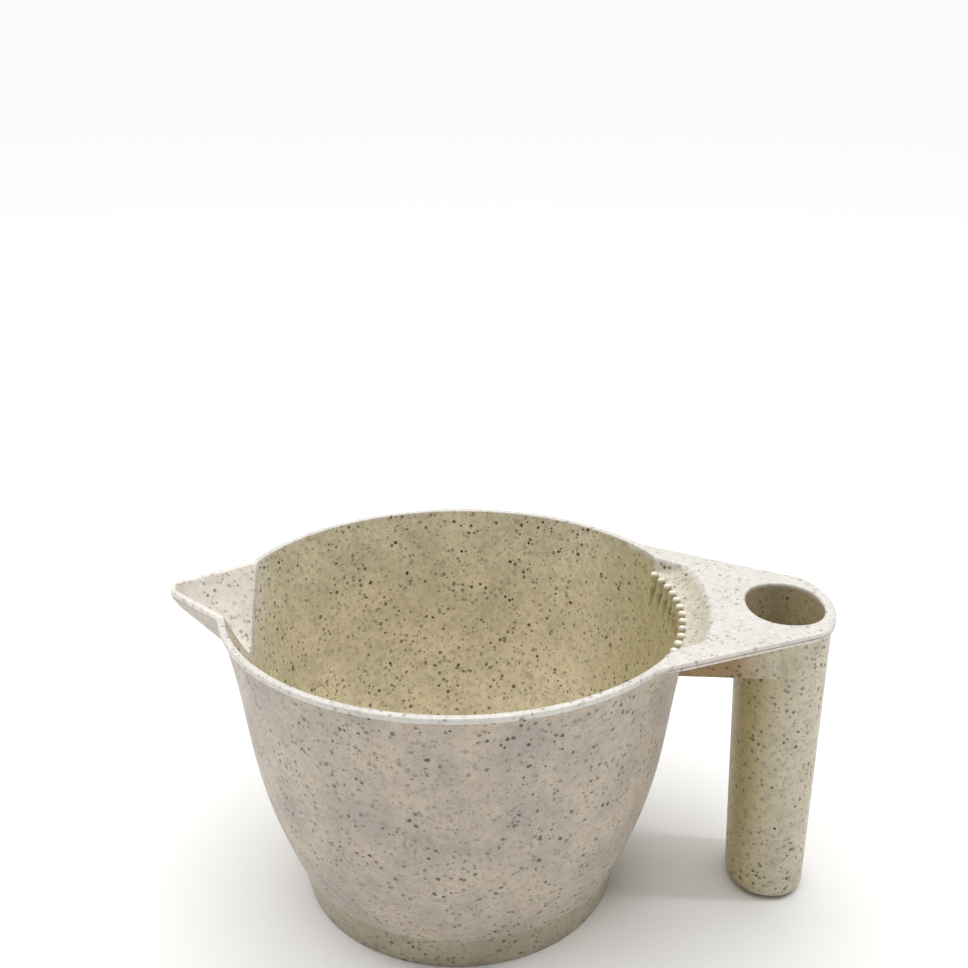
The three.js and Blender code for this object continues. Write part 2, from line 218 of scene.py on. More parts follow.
# Stage: half the floor's side, the colour of floor and surroundings, the lights and the camera.
FLOOR_HALF = 40.0
PAPER = "fafaf9"
PAPER_ROUGHNESS = 0.9
SKY_STRENGTH = 0.23
DAYLIGHT_STRENGTH = 2.62
DAYLIGHT_SPREAD = math.radians(70)
DAYLIGHT_DIRECTION = (0.05, -0.09, -1)
STRIP_AIM = (0, 0, 0.05)
STRIP_SIZE = (0.06, 0.35)
STRIPS = (("Left strip", (-0.62, -0.02, 0.9), 1.7), ("Right strip", (0.62, -0.02, 0.9), 1.6))
CAMERA_LENS = 42.94
CAMERA_AIM = (7.19 * MM + AXIS_X, 0, 120.3 * MM)
CAMERA_AZIMUTH = math.radians(3.77)
CAMERA_ELEVATION = math.radians(19.95)
CAMERA_AWAY = 306.9 * MM


# ---- sizes and colours that a user would change ----


def length(name, description, millimetres):
    return bpy.props.FloatProperty(
        name=name, description=description, default=millimetres * MM, precision=5,
        subtype="DISTANCE", unit="LENGTH",
    )


def angle(name, description, degrees):
    return bpy.props.FloatProperty(
        name=name, description=description, default=math.radians(degrees),
        subtype="ANGLE", unit="ROTATION",
    )


def colour(name, description, hex_value):
    return bpy.props.StringProperty(name=name, description=description, default=hex_value)


class BowlSizes(bpy.types.PropertyGroup):
    """Sizes of the bowl wall, its rim and its floor."""

    wall: length("Wall", "Thickness of the bowl wall", 1.4)
    lip_height: length("Lip height", "Height of the lip round the rim", 1.6)
    outer_round: length("Outer rounding", "Radius of the rim's outer top edge", 0.55)
    inner_round: length("Inner rounding", "Radius of the rim's inner top edge", 0.5)
    under_round: length("Under rounding", "Radius of the lip's lower edge", 0.35)
    floor_z: length("Floor height", "Height of the bowl's floor above the table", 8.7)
    floor_thickness: length("Floor thickness", "Thickness of the bowl's floor", 1.8)
    floor_disc: length("Floor disc", "Radius of the flat part of the floor", 41.3)
    floor_fillet: length("Floor fillet", "Radius between the floor and the wall", 5.1)
    foot_bottom: length("Foot bottom", "Outer radius of the foot ring at the table", 44.8)
    foot_wall: length("Foot wall", "Thickness of the foot ring", 1.6)
    columns: bpy.props.IntProperty(
        name="Columns", description="Divisions of the bowl wall round its axis", default=480,
    )


class SpoutSizes(bpy.types.PropertyGroup):
    """Sizes of the pouring spout."""

    root_x: length("Root", "Where the spout's side lines meet the rim", -62.5)
    root_half_width: length("Root half width", "Half the spout's width at its root", 18.2)
    side_angle: angle("Side angle", "Angle of the spout's sides to its middle line", 40)
    tip_r: length("Tip radius", "Radius of the spout's tip seen from above", 6.2)
    root_blend: length("Root blend", "Radius where the spout's sides leave the rim", 4.0)
    wall: length("Wall", "Thickness of the spout's sides", 1.5)
    keel_root: length("Keel at root", "Height of the keel at the bowl", 67.4)
    keel_tip: length("Keel at tip", "Height of the keel at the tip", 83.7)
    groove_root: length("Groove at root", "Height of the groove at the bowl", 70.4)
    groove_tip: length("Groove at tip", "Height of the groove at the tip", 85.3)
    keel_round: length("Keel rounding", "Softness of the keel", 2.0)
    groove_round: length("Groove rounding", "Softness of the groove's bottom", 1.6)


class DeckSizes(bpy.types.PropertyGroup):
    """Sizes of the deck, its drain recess and the webs under it."""

    thickness: length("Thickness", "Thickness of the deck", 2.2)
    side_normal: angle("Side direction", "Direction that the deck's side line faces", 63.5)
    side_distance: length("Side distance", "Distance of the side line from the bowl axis", 58.2)
    shoulder_r: length("Shoulder", "Radius where the deck leaves the rim", 12.0)
    end_r: length("End radius", "Radius of the blunt end", 30.0)
    corner_r: length("Corner radius", "Radius of the end's corners", 8.0)
    mouth_round: length("Mouth rounding", "Radius of the edge of the grip's mouth", 0.8)
    recess_r: length("Recess radius", "Outer radius of the drain recess", 69.0)
    recess_edge: length("Recess edge", "Height of the recess floor at the comb", 84.0)
    dish: length("Dish thickness", "Thickness under the recess floor", 1.8)


class GripSizes(bpy.types.PropertyGroup):
    """Sizes of the hollow grip."""

    outer_top_x: length("Outer top length", "Half the grip's length at its top", 12.5)
    outer_top_y: length("Outer top width", "Half the grip's width at its top", 14.9)
    outer_bottom_x: length("Outer bottom length", "Half the grip's length at its bottom", 10.8)
    outer_bottom_y: length("Outer bottom width", "Half the grip's width at its bottom", 13.3)
    inner_top_x: length("Mouth length", "Half the length of the mouth", 10.3)
    inner_top_y: length("Mouth width", "Half the width of the mouth", 12.85)
    inner_bottom_x: length("Inner bottom length", "Half the socket's length at its floor", 8.8)
    inner_bottom_y: length("Inner bottom width", "Half the socket's width at its floor", 11.3)
    floor_z: length("Socket floor", "Height of the socket's floor", 3.0)
    end_round: length("End rounding", "Radius of the grip's lower edge", 2.0)


class CombSizes(bpy.types.PropertyGroup):
    """Sizes of the brush-wiping comb."""

    count: bpy.props.IntProperty(name="Teeth", description="Number of teeth", default=13)
    pitch: angle("Pitch", "Angle between teeth about the bowl axis", 4.11)
    tooth_r: length("Tooth radius", "Radius of a tooth's nose", 0.85)
    circle_r: length("Tooth circle", "Radius on which the noses stand", 61.15)
    bottom_z: length("Tooth bottom", "Height at which a tooth starts", 73.5)
    knot_drop: length("Knot drop", "Depth of the thicker place on a tooth below its top", 4.6)


class PlasticColours(bpy.types.PropertyGroup):
    """Colours of the speckled plastic, as sRGB hex values."""

    # Outside: the plastic's colour partly darkened to a painted shade, for the shade on the outer
    # wall; the deck and the inner wall are the same plastic.
    outside: colour("Outside", "Main colour of the bowl", "cbbeac")
    outside_cool: colour("Outside clouds", "Cooler clouds on the outside", "b8ada3")
    inside: colour("Inside", "Main colour of the inner wall", "f0e6ca")
    inside_cool: colour("Inside clouds", "Clouds on the inner wall", "e1d8bd")
    inside_shade: colour("Inside, grip side", "Inner wall by the comb", "c5bb93")
    # Floor: painted shade, darker and greener than the wall, since the table behind it lets little
    # light through the plastic; its polish is real.
    floor: colour("Floor", "Main colour of the polished floor", "aea88d")
    floor_cool: colour("Floor clouds", "Clouds on the polished floor", "a59f87")
    deck: colour("Deck", "Main colour of the deck and the rim", "e3dfd8")
    deck_cool: colour("Deck clouds", "Clouds on the deck and the rim", "dcd9d2")
    # Parting line: a thin brown band where the mould's parting line runs; its darkness is painted
    # shade of a shallow groove that the mesh does not have.
    parting: colour("Parting line", "Line along the deck's edge", "b39c86")
    # Recess: painted shade, darker than the deck, deepening down into the drain recess.
    recess: colour("Recess", "Colour of the drain recess", "d2cbb9")
    # Comb: painted highlight, lighter than the deck, for the lit tops of the teeth.
    comb: colour("Comb", "Colour of the tops of the comb's teeth", "f6efdf")
    # Spout: painted light, lighter than the plastic elsewhere, for the brightly lit inside of the
    # spout.
    spout: colour("Spout", "Main colour inside the spout", "f5efe6")
    spout_cool: colour("Spout clouds", "Clouds inside the spout", "eee8e0")
    grip: colour("Grip", "Main colour of the grip", "d8ceb7")
    grip_cool: colour("Grip clouds", "Clouds on the grip", "cdc4ab")
    grip_shade: colour("Grip, bowl side", "Colour of the grip's side towards the bowl", "c4b47c")
    # Socket: painted shade, darker than the plastic, for the shade down inside the grip's hole.
    socket: colour("Socket", "Colour inside the grip", "c4b796")
    # Webs: painted shade, darker and browner than the grip, for the shade under the deck.
    shaded_web: colour("Webs", "Main colour of the webs under the deck", "a28358")
    # Foot: painted shade, darker and greener than the wall, since the thin ring gets little light
    # through it from the dark hollow under the bowl.
    foot: colour("Foot", "Main colour of the foot ring", "c1b59f")
    foot_cool: colour("Foot clouds", "Clouds on the foot ring", "b4ab94")
    speck: colour("Specks", "Colour of the straw specks", "3b2f22")
    faint_speck: colour("Faint specks", "Colour of the finer specks", "7d6c54")


class TintBowlSettings(bpy.types.PropertyGroup):
    """All the settings of the bowl."""

    bowl: bpy.props.PointerProperty(type=BowlSizes)
    spout: bpy.props.PointerProperty(type=SpoutSizes)
    deck: bpy.props.PointerProperty(type=DeckSizes)
    grip: bpy.props.PointerProperty(type=GripSizes)
    comb: bpy.props.PointerProperty(type=CombSizes)
    colours: bpy.props.PointerProperty(type=PlasticColours)


def settings():
    return bpy.context.scene.tint_bowl


# ---- the bowl's shape ----


def wall_line(offset, steps=400):
    """Points (radius, height) of the wall's outer face moved along its normal by offset."""
    p0, p1, p2, p3 = np.array(WALL_CURVE)
    t = np.linspace(0, 1, steps)[:, None]
    line = (1 - t) ** 3 * p0 + 3 * (1 - t) ** 2 * t * p1 + 3 * (1 - t) * t * t * p2 + t**3 * p3
    tangent = np.gradient(line, axis=0)
    tangent /= np.linalg.norm(tangent, axis=1)[:, None]
    normal = np.stack([tangent[:, 1], -tangent[:, 0]], axis=1)
    moved = line + normal * offset
    return moved[:, 0], moved[:, 1]


def radius_at(z, offset=0.0):
    """Radius of the wall at a height, for its outer face or a face moved by offset."""
    r_line, z_line = wall_line(offset)
    slope = (r_line[-1] - r_line[-2]) / (z_line[-1] - z_line[-2])
    beyond = np.maximum(np.asarray(z) - z_line[-1], 0)
    return np.interp(z, z_line, r_line) + beyond * slope


def inner_radius(z):
    return radius_at(z, -settings().bowl.wall)


def soft_min(a, b, softness):
    h = np.maximum(softness - np.abs(a - b), 0) / softness
    return np.minimum(a, b) - h * h * softness / 4


def soft_max(a, b, softness):
    return -soft_min(-a, -b, softness)


def rounding(distance, radius):
    """How far a quarter-round edge has dropped at a distance in from its side."""
    inside = np.clip(radius - distance, 0, radius)
    return radius - np.sqrt(radius * radius - inside * inside)


def smooth_step(t):
    t = np.clip(t, 0, 1)
    return t * t * (3 - 2 * t)


def spout_half_width(x, inset):
    """Half the spout's width from its tip to its root, without the root blends."""
    s = settings().spout
    straight = s.root_half_width + (x - s.root_x) * math.tan(s.side_angle)
    straight = straight - inset / math.cos(s.side_angle)
    radius = s.tip_r - inset
    centre = SPOUT_TIP_X + s.tip_r
    round_tip = np.sqrt(np.maximum(radius**2 - (x - centre) ** 2, 0))
    tangent_x = centre - radius * math.sin(s.side_angle)
    return np.where(x < tangent_x, round_tip, straight)


def vee(y, half_width, bottom, top_z, softness):
    """Height of a V section with a soft bottom, which reaches top_z at the half width."""
    wide = np.maximum(half_width, NARROWEST)
    rise = (np.sqrt(y * y + softness**2) - softness) / (np.sqrt(wide**2 + softness**2) - softness)
    return bottom + (top_z - bottom) * rise


def keel_line(x, root_z, tip_z, tip_x, end_z):
    """Height of a line from the root to the tip, turned up to end_z over the last stretch."""
    s = settings().spout
    line = root_z + (tip_z - root_z) * (x - s.root_x) / (tip_x - s.root_x)
    back = np.clip(1 - (x - tip_x) / SPOUT_NOSE, 0, 1)
    return line + (end_z - line) * (1 - np.sqrt(1 - back * back))


def groove_height(x, y):
    s = settings().spout
    tip_x = SPOUT_TIP_X + s.wall
    bottom = keel_line(x, s.groove_root, s.groove_tip, tip_x, RIM_Z)
    height = vee(y, spout_half_width(x, s.wall), bottom, RIM_Z, s.groove_round)
    return np.where(x < tip_x, ABOVE_RIM_Z, np.minimum(height, ABOVE_RIM_Z))


def keel_height(x, y):
    b, s = settings().bowl, settings().spout
    lip_z = RIM_Z - b.lip_height
    bottom = keel_line(x, s.keel_root, s.keel_tip, SPOUT_TIP_X, lip_z)
    height = vee(y, spout_half_width(x, 0.0), bottom, lip_z, s.keel_round)
    return np.minimum(height, lip_z)


def recess_height(x, y):
    """Height of the drain recess: a dish that falls to the comb between two end walls."""
    d = settings().deck
    run = np.hypot(x, y) - RECESS_START_R
    across = d.recess_r - RECESS_START_R
    climb = RIM_Z - d.recess_edge
    first = RECESS_FIRST_SLOPE * climb / across
    dish = d.recess_edge + first * run + (climb - first * across) * (run / across) ** 2
    dish = np.where(run < 0, d.recess_edge + first * run, dish)
    along = (RECESS_MOUTH - RECESS_CORNER) / np.linalg.norm(RECESS_MOUTH - RECESS_CORNER)
    inward = along[1] * (RECESS_CORNER[0] - x) + along[0] * (np.abs(y) - RECESS_CORNER[1])
    ends = RIM_Z - RECESS_END_SLOPE * inward
    return soft_max(dish, ends, RECESS_CREASE)


def top_height(x, y):
    """Height of the rim, deck and spout seen from above, without their edge roundings."""
    drained = np.where(x > RECESS_FROM_X, recess_height(x, y), ABOVE_RIM_Z)
    poured = np.where(x < SPOUT_UP_TO_X, groove_height(x, y), ABOVE_RIM_Z)
    with_recess = soft_min(np.full_like(x, RIM_Z), drained, RECESS_CREASE)
    return soft_min(with_recess, poured, SPOUT_CREASE)


def rim_edge(angles):
    """Radius and height of the rim's inner edge, where its rounding starts, at each angle."""
    b = settings().bowl
    z = np.full(len(angles), RIM_Z - b.inner_round)
    for _ in range(RIM_ROUNDS):
        r = inner_radius(z)
        z = 0.5 * z + 0.5 * (top_height(r * np.cos(angles), r * np.sin(angles)) - b.inner_round)
    return inner_radius(z), z


def wall_top(angles):
    """Height at which the bowl wall hands over to the lip, the deck or the spout."""
    b = settings().bowl
    _, edge_z = rim_edge(angles)
    return edge_z - (b.lip_height - b.inner_round)


def arc(cx, cy, r, start, end, steps):
    a = np.linspace(start, end, steps)
    return np.stack([cx + r * np.cos(a), cy + r * np.sin(a)], axis=1)


def shoulder(normal_angle, distance, blend):
    """Concave arc from the rim circle to a straight side line, and the angle where it starts."""
    reach = RIM_R + blend
    start = normal_angle - math.acos((distance + blend) / reach)
    centre = reach * np.array([math.cos(start), math.sin(start)])
    points = arc(centre[0], centre[1], blend, start + math.pi, normal_angle + math.pi, 14)
    return start, points


def run_along(points):
    """Distance from the start of a line to each of its points."""
    steps = np.linalg.norm(np.diff(points, axis=0), axis=1)
    return np.concatenate([[0], np.cumsum(steps)])


def points_at(points, run, at):
    """Points of a line at some distances from its start."""
    return np.stack([np.interp(at, run, points[:, i]) for i in (0, 1)], axis=1)


def resample(points, spacing):
    """Points along a line at an even spacing, with its ends kept."""
    run = run_along(points)
    count = max(2, int(round(run[-1] / spacing)) + 1)
    return points_at(points, run, np.linspace(0, run[-1], count))


def deck_outline(spacing):
    """The deck's outer edge from one shoulder round the end to the other."""
    d = settings().deck
    start, points = shoulder(d.side_normal, d.side_distance, d.shoulder_r)
    normal = np.array([math.cos(d.side_normal), math.sin(d.side_normal)])
    along = np.array([normal[1], -normal[0]])
    end_x = DECK_END_X - d.end_r
    inset = d.side_distance - d.corner_r
    off_line = end_x * normal[0] - inset
    reach = math.sqrt((d.end_r - d.corner_r) ** 2 - off_line**2)
    corner = normal * inset + along * (end_x * along[0] + reach)
    turn = math.atan2(corner[1], corner[0] - end_x)
    half = np.concatenate([
        points,
        arc(corner[0], corner[1], d.corner_r, d.side_normal, turn, 16),
        arc(end_x, 0, d.end_r, turn, 0, 16)[1:],
    ])
    half = resample(half, spacing)
    return start, np.concatenate([half, half[-2::-1] * [1, -1]])


def spout_outline(spacing):
    """The spout's outer edge from its back root round the tip to its front root."""
    s = settings().spout
    normal_angle = math.pi / 2 + s.side_angle
    normal = np.array([math.cos(normal_angle), math.sin(normal_angle)])
    distance = float(normal @ [s.root_x, s.root_half_width])
    reach = RIM_R + s.root_blend
    start = normal_angle + math.acos((distance + s.root_blend) / reach)
    centre = reach * np.array([math.cos(start), math.sin(start)])
    blend = arc(
        centre[0], centre[1], s.root_blend, start - math.pi, normal_angle - math.pi, 14,
    )
    tip = arc(SPOUT_TIP_X + s.tip_r, 0, s.tip_r, normal_angle, math.pi, 20)
    half = resample(np.concatenate([blend, tip]), spacing)
    return start, np.concatenate([half, half[-2::-1] * [1, -1]])


# ---- meshes ----


def smooth_mesh(name, points, faces):
    mesh = bpy.data.meshes.new(name)
    mesh.from_pydata(points.tolist(), [], faces)
    mesh.polygons.foreach_set("use_smooth", [True] * len(mesh.polygons))
    mesh.update()
    return mesh


def new_piece(name, points, faces, materials, replaced, face_materials=None):
    """Makes a piece from points about the bowl axis; face_materials is a number for each face."""
    mesh = smooth_mesh(name, points + [AXIS_X, 0, 0], faces)
    for material in materials:
        mesh.materials.append(material)
    if face_materials is not None:
        mesh.polygons.foreach_set("material_index", face_materials)
    claim(name, mesh, replaced)


def points_out(mesh):
    """Whether a closed mesh has its faces pointing outwards, from the sign of its volume."""
    mesh.calc_loop_triangles()
    places = np.array([vertex.co for vertex in mesh.vertices])
    corners = np.array([tuple(triangle.vertices) for triangle in mesh.loop_triangles])
    a, b, c = places[corners].transpose(1, 0, 2)
    return float(np.einsum("ij,ij->i", a, np.cross(b, c)).sum()) > 0


def claim(name, mesh, replaced):
    """Makes the object of a finished mesh and fixes it to the frame."""
    if not points_out(mesh):
        mesh.flip_normals()
    mesh.set_sharp_from_angle(angle=SHARP_FROM)
    piece = bpy.data.objects.new(name, mesh)
    bpy.context.scene.collection.objects.link(piece)
    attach(piece, BODY)
    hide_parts(*replaced)


def ring_faces(first, second, count):
    """Quads between two rings of vertices that start at first and second."""
    nexts = [(i + 1) % count for i in range(count)]
    return [(first + i, first + j, second + j, second + i) for i, j in enumerate(nexts)]


def skin_faces(rings, count):
    """Quads of a skin over a row of rings."""
    faces = []
    for k in range(rings - 1):
        faces += ring_faces(k * count, (k + 1) * count, count)
    return faces


def capped_faces(rings, count):
    """Faces of a skin over a row of rings, with a cap on the first and the last ring."""
    last = (rings - 1) * count
    caps = [tuple(range(count))[::-1], tuple(range(last, last + count))]
    return skin_faces(rings, count) + caps


def turned(profile, angles):
    """Rings of a (radius, height) section, one at each angle about the bowl axis."""
    return [
        np.column_stack([profile[:, 0] * math.cos(a), profile[:, 0] * math.sin(a), profile[:, 1]])
        for a in angles
    ]


def inside(points, loop):
    """Whether each point lies inside a closed loop."""
    x, y = points[:, 0][:, None], points[:, 1][:, None]
    x0, y0 = loop[:, 0][None], loop[:, 1][None]
    x1, y1 = np.roll(x0, -1), np.roll(y0, -1)
    spans = (y0 > y) != (y1 > y)
    rise = np.where(y1 == y0, 1, y1 - y0)
    crosses = spans & (x < (x1 - x0) * (y - y0) / rise + x0)
    return crosses.sum(axis=1) % 2 == 1


def distance_to(points, line, closed=False):
    """Shortest distance from each point to a polyline."""
    ends = np.roll(line, -1, axis=0) if closed else line[1:]
    starts = line if closed else line[:-1]
    best = np.full(len(points), np.inf)
    for a, b in zip(starts, ends):
        step = b - a
        t = np.clip((points - a) @ step / max(step @ step, 1e-18), 0, 1)
        best = np.minimum(best, np.linalg.norm(points - a - t[:, None] * step, axis=1))
    return best


def beside(line, distance, closed=False):
    """A polyline moved sideways, to its left."""
    if closed:
        tangent = np.roll(line, -1, axis=0) - np.roll(line, 1, axis=0)
    else:
        tangent = np.gradient(line, axis=0)
    tangent /= np.linalg.norm(tangent, axis=1)[:, None]
    return line + distance * np.stack([-tangent[:, 1], tangent[:, 0]], axis=1)


def lattice(low, high, spacing):
    """Points of a triangular lattice over a rectangle."""
    rows = []
    for k, y in enumerate(np.arange(low[1], high[1], spacing * math.sqrt(0.75))):
        xs = np.arange(low[0] + (k % 2) * spacing / 2, high[0], spacing)
        rows.append(np.stack([xs, np.full_like(xs, y)], axis=1))
    return np.concatenate(rows)


def plan_triangles(loops, fill):
    """Triangles over a plan: the first loop is its outline and the others are its holes.

    Returns the points, which of them each loop point has become, and the triangles.
    """
    plan = np.concatenate([*loops, fill])
    edges, start = [], 0
    for loop in loops:
        count = len(loop)
        edges += [(start + i, start + (i + 1) % count) for i in range(count)]
        start += count
    scale = 1 / MM
    flat = [Vector((x * scale, y * scale)) for x, y in plan]
    points, _, triangles, origins, _, _ = delaunay_2d_cdt(flat, edges, [], 1, 1e-5)
    points = np.array([(p.x, p.y) for p in points]) * MM
    home = {source: index for index, sources in enumerate(origins) for source in sources}
    triangles = np.array(triangles)
    centres = points[triangles].mean(axis=1)
    keep = inside(centres, loops[0])
    for hole in loops[1:]:
        keep &= ~inside(centres, hole)
    return points, home, triangles[keep]


def side_faces(points, ring, outer):
    """Quads down a plate's side, along its outline or a hole."""
    ring = [v for i, v in enumerate(ring) if v != ring[i - 1]]
    x, y = points[ring].T
    area = (x * np.roll(y, -1) - np.roll(x, -1) * y).sum()
    if (area < 0) == outer:
        ring.reverse()
    count = len(points)
    return [(a, a + count, b + count, b) for a, b in zip(ring, ring[1:] + ring[:1])]


def moulded_plate(loops, fill, heights, seats):
    """Closed mesh over a plan: a top and a bottom surface joined round every edge.

    heights(points) gives the top and bottom heights. The outline starts with the plate's root,
    where seats are the places of its lower vertices on the bowl wall. Returns the points, the
    faces and, for each face, whether it belongs to the underside.
    """
    points, home, triangles = plan_triangles(loops, fill)
    top, bottom = heights(points)
    count = len(points)
    upper = np.column_stack([points, top])
    lower = np.column_stack([points, bottom])
    for source, place in enumerate(seats):
        lower[home[source]] = place
    faces = [tuple(t) for t in triangles.tolist()]
    faces += [(a + count, c + count, b + count) for a, b, c in triangles.tolist()]
    low_faces = range(len(triangles), 2 * len(triangles))
    start = 0
    for loop in loops:
        ring = [home[start + i] for i in range(len(loop))]
        faces += side_faces(points, ring, start == 0)
        start += len(loop)
    under = np.zeros(len(faces), dtype=bool)
    under[low_faces] = True
    used = sorted({v for face in faces for v in face})
    new_index = {v: i for i, v in enumerate(used)}
    every = np.concatenate([upper, lower])[used]
    return every, [tuple(new_index[v] for v in face) for face in faces], under


def oval(semi_x, semi_y, centre_x, count):
    a = np.linspace(0, 2 * math.pi, count, endpoint=False)
    power = 2 / OVAL_POWER
    c, s = np.cos(a), np.sin(a)
    x = centre_x + semi_x * np.sign(c) * np.abs(c) ** power
    return np.stack([x, semi_y * np.sign(s) * np.abs(s) ** power], axis=1)


def even_oval(semi_x, semi_y, centre_x, count):
    """The same oval with its points evenly spaced."""
    dense = oval(semi_x, semi_y, centre_x, OVAL_POINTS)
    dense = np.concatenate([dense, dense[:1]])
    run = run_along(dense)
    return points_at(dense, run, np.linspace(0, run[-1], count, endpoint=False))


def grip_centre(z):
    return GRIP_X + GRIP_LEAN * (1 - z / RIM_Z)


# ---- materials ----


def linear(hex_value):
    """sRGB hex to the linear colour that shaders use."""
    channels = [int(hex_value[i:i + 2], 16) / 255 for i in (0, 2, 4)]
    return (*(c / 12.92 if c <= 0.04045 else ((c + 0.055) / 1.055) ** 2.4 for c in channels), 1.0)


def empty_tree(block):
    """The node tree of a material or a world, emptied."""
    block.use_nodes = True
    block.node_tree.nodes.clear()
    return block.node_tree


def add(tree, kind, inputs=None, **values):
    """Adds a node, sets its values, and fills or links its inputs."""
    node = tree.nodes.new(kind)
    for key, value in values.items():
        setattr(node, key, value)
    for socket, value in (inputs or {}).items():
        if isinstance(value, bpy.types.NodeSocket):
            tree.links.new(value, node.inputs[socket])
        else:
            node.inputs[socket].default_value = value
    return node


def calculate(tree, operation, a, b):
    return add(tree, "ShaderNodeMath", {0: a, 1: b}, operation=operation).outputs[0]


def remap(tree, value, low, high, to_low, to_high, soft=False):
    kind = "SMOOTHSTEP" if soft else "LINEAR"
    node = add(
        tree, "ShaderNodeMapRange",
        {"Value": value, "From Min": low, "From Max": high, "To Min": to_low, "To Max": to_high},
        interpolation_type=kind,
    )
    return node.outputs["Result"]


def blend_colour(tree, factor, first, second):
    node = add(tree, "ShaderNodeMix", {0: factor, 6: first, 7: second}, data_type="RGBA")
    return node.outputs[2]


def specks(tree, place, cell, radius, share):
    """Mask of round specks: about one for each cell, of random size, of which a share shows."""
    cells = add(tree, "ShaderNodeTexVoronoi", {"Vector": place, "Scale": 1 / cell})
    chance = add(tree, "ShaderNodeSeparateColor", {"Color": cells.outputs["Color"]})
    size = remap(tree, chance.outputs[0], 0, 1, SMALLEST_SPECK, 1.0)
    distance = calculate(tree, "DIVIDE", cells.outputs["Distance"], size)
    reach = radius / cell
    dot = remap(tree, distance, 0.5 * reach, reach, 1, 0, soft=True)
    shows = remap(tree, chance.outputs[1], 1 - share, 1, 0, 1)
    return calculate(tree, "MULTIPLY", dot, shows)


def speckled_plastic(name, main, mottle, roughness, strength, *turns):
    """Wheat-straw filled polypropylene, injection moulded.

    The straw flour shows as dark brown specks of 0.4 to 1.2 mm in loose clusters, with finer faint
    ones between, over a cream ground with soft clouds of a cooler tone. The mould's fine texture
    gives a satin sheen. Each turn is (colour, axis, start, end): the ground has that colour before
    the start, as told along the axis, and is back to what it was at the end.
    """
    c = settings().colours
    material = bpy.data.materials.new(name)
    tree = empty_tree(material)
    place = add(tree, "ShaderNodeTexCoord").outputs["Object"]
    wobble = add(tree, "ShaderNodeTexNoise", {"Vector": place, "Scale": 1 / WOBBLE_GRAIN})
    shift = add(
        tree, "ShaderNodeVectorMath", {0: wobble.outputs["Color"], 1: (0.5, 0.5, 0.5)},
        operation="SUBTRACT",
    )
    push = add(tree, "ShaderNodeVectorMath", {0: shift.outputs[0], "Scale": WOBBLE},
               operation="SCALE")
    uneven = add(tree, "ShaderNodeVectorMath", {0: place, 1: push.outputs[0]}).outputs[0]

    def noise(grain, detail):
        kind = "ShaderNodeTexNoise"
        return add(tree, kind, {"Vector": place, "Scale": 1 / grain, "Detail": detail}).outputs[0]

    clouds = noise(CLOUD_GRAIN, 3.0)
    cloudy = remap(tree, clouds, *CLOUD_RANGE, 0, 1)
    ground = blend_colour(tree, cloudy, linear(main), linear(mottle))
    for other, axis, start, end in turns:
        along = add(tree, "ShaderNodeSeparateXYZ", {0: place}).outputs[axis]
        share = remap(tree, along, start, end, 1, 0, soft=True)
        ground = blend_colour(tree, share, ground, linear(other))
    fine = specks(tree, uneven, FINE_SPECK_CELL, FINE_SPECK_R, FINE_SHARE)
    fine = calculate(tree, "MULTIPLY", fine, FINE_STRENGTH * strength)
    crowded = remap(tree, noise(CROWD_GRAIN, 1.0), *CROWD_RANGE, SPARSEST, 1)
    bold = specks(tree, uneven, BOLD_SPECK_CELL, BOLD_SPECK_R, BOLD_SHARE)
    bold = calculate(tree, "MULTIPLY", calculate(tree, "MULTIPLY", bold, crowded), strength)
    dusty = remap(tree, noise(DUST_GRAIN, 2.0), *DUST_RANGE, 0, DUST_STRENGTH * strength)
    ground = blend_colour(tree, dusty, ground, linear(c.faint_speck))
    ground = blend_colour(tree, fine, ground, linear(c.faint_speck))
    ground = blend_colour(tree, bold, ground, linear(c.speck))
    sheen = remap(tree, clouds, *SHEEN_RANGE, *(roughness * share for share in SHEEN_SHARES))
    bump = add(tree, "ShaderNodeBump",
               {"Height": noise(SKIN_GRAIN, 2.0), "Strength": 0.25 * roughness,
                "Distance": SKIN_DEPTH})
    shader = add(
        tree, "ShaderNodeBsdfPrincipled",
        {"Base Color": ground, "Roughness": sheen, "IOR": 1.49, "Normal": bump.outputs[0],
         "Subsurface Weight": 0.12, "Subsurface Radius": (1.0, 0.85, 0.55),
         "Subsurface Scale": GLOW_DEPTH},
    )
    add(tree, "ShaderNodeOutputMaterial", {"Surface": shader.outputs[0]})
    return material


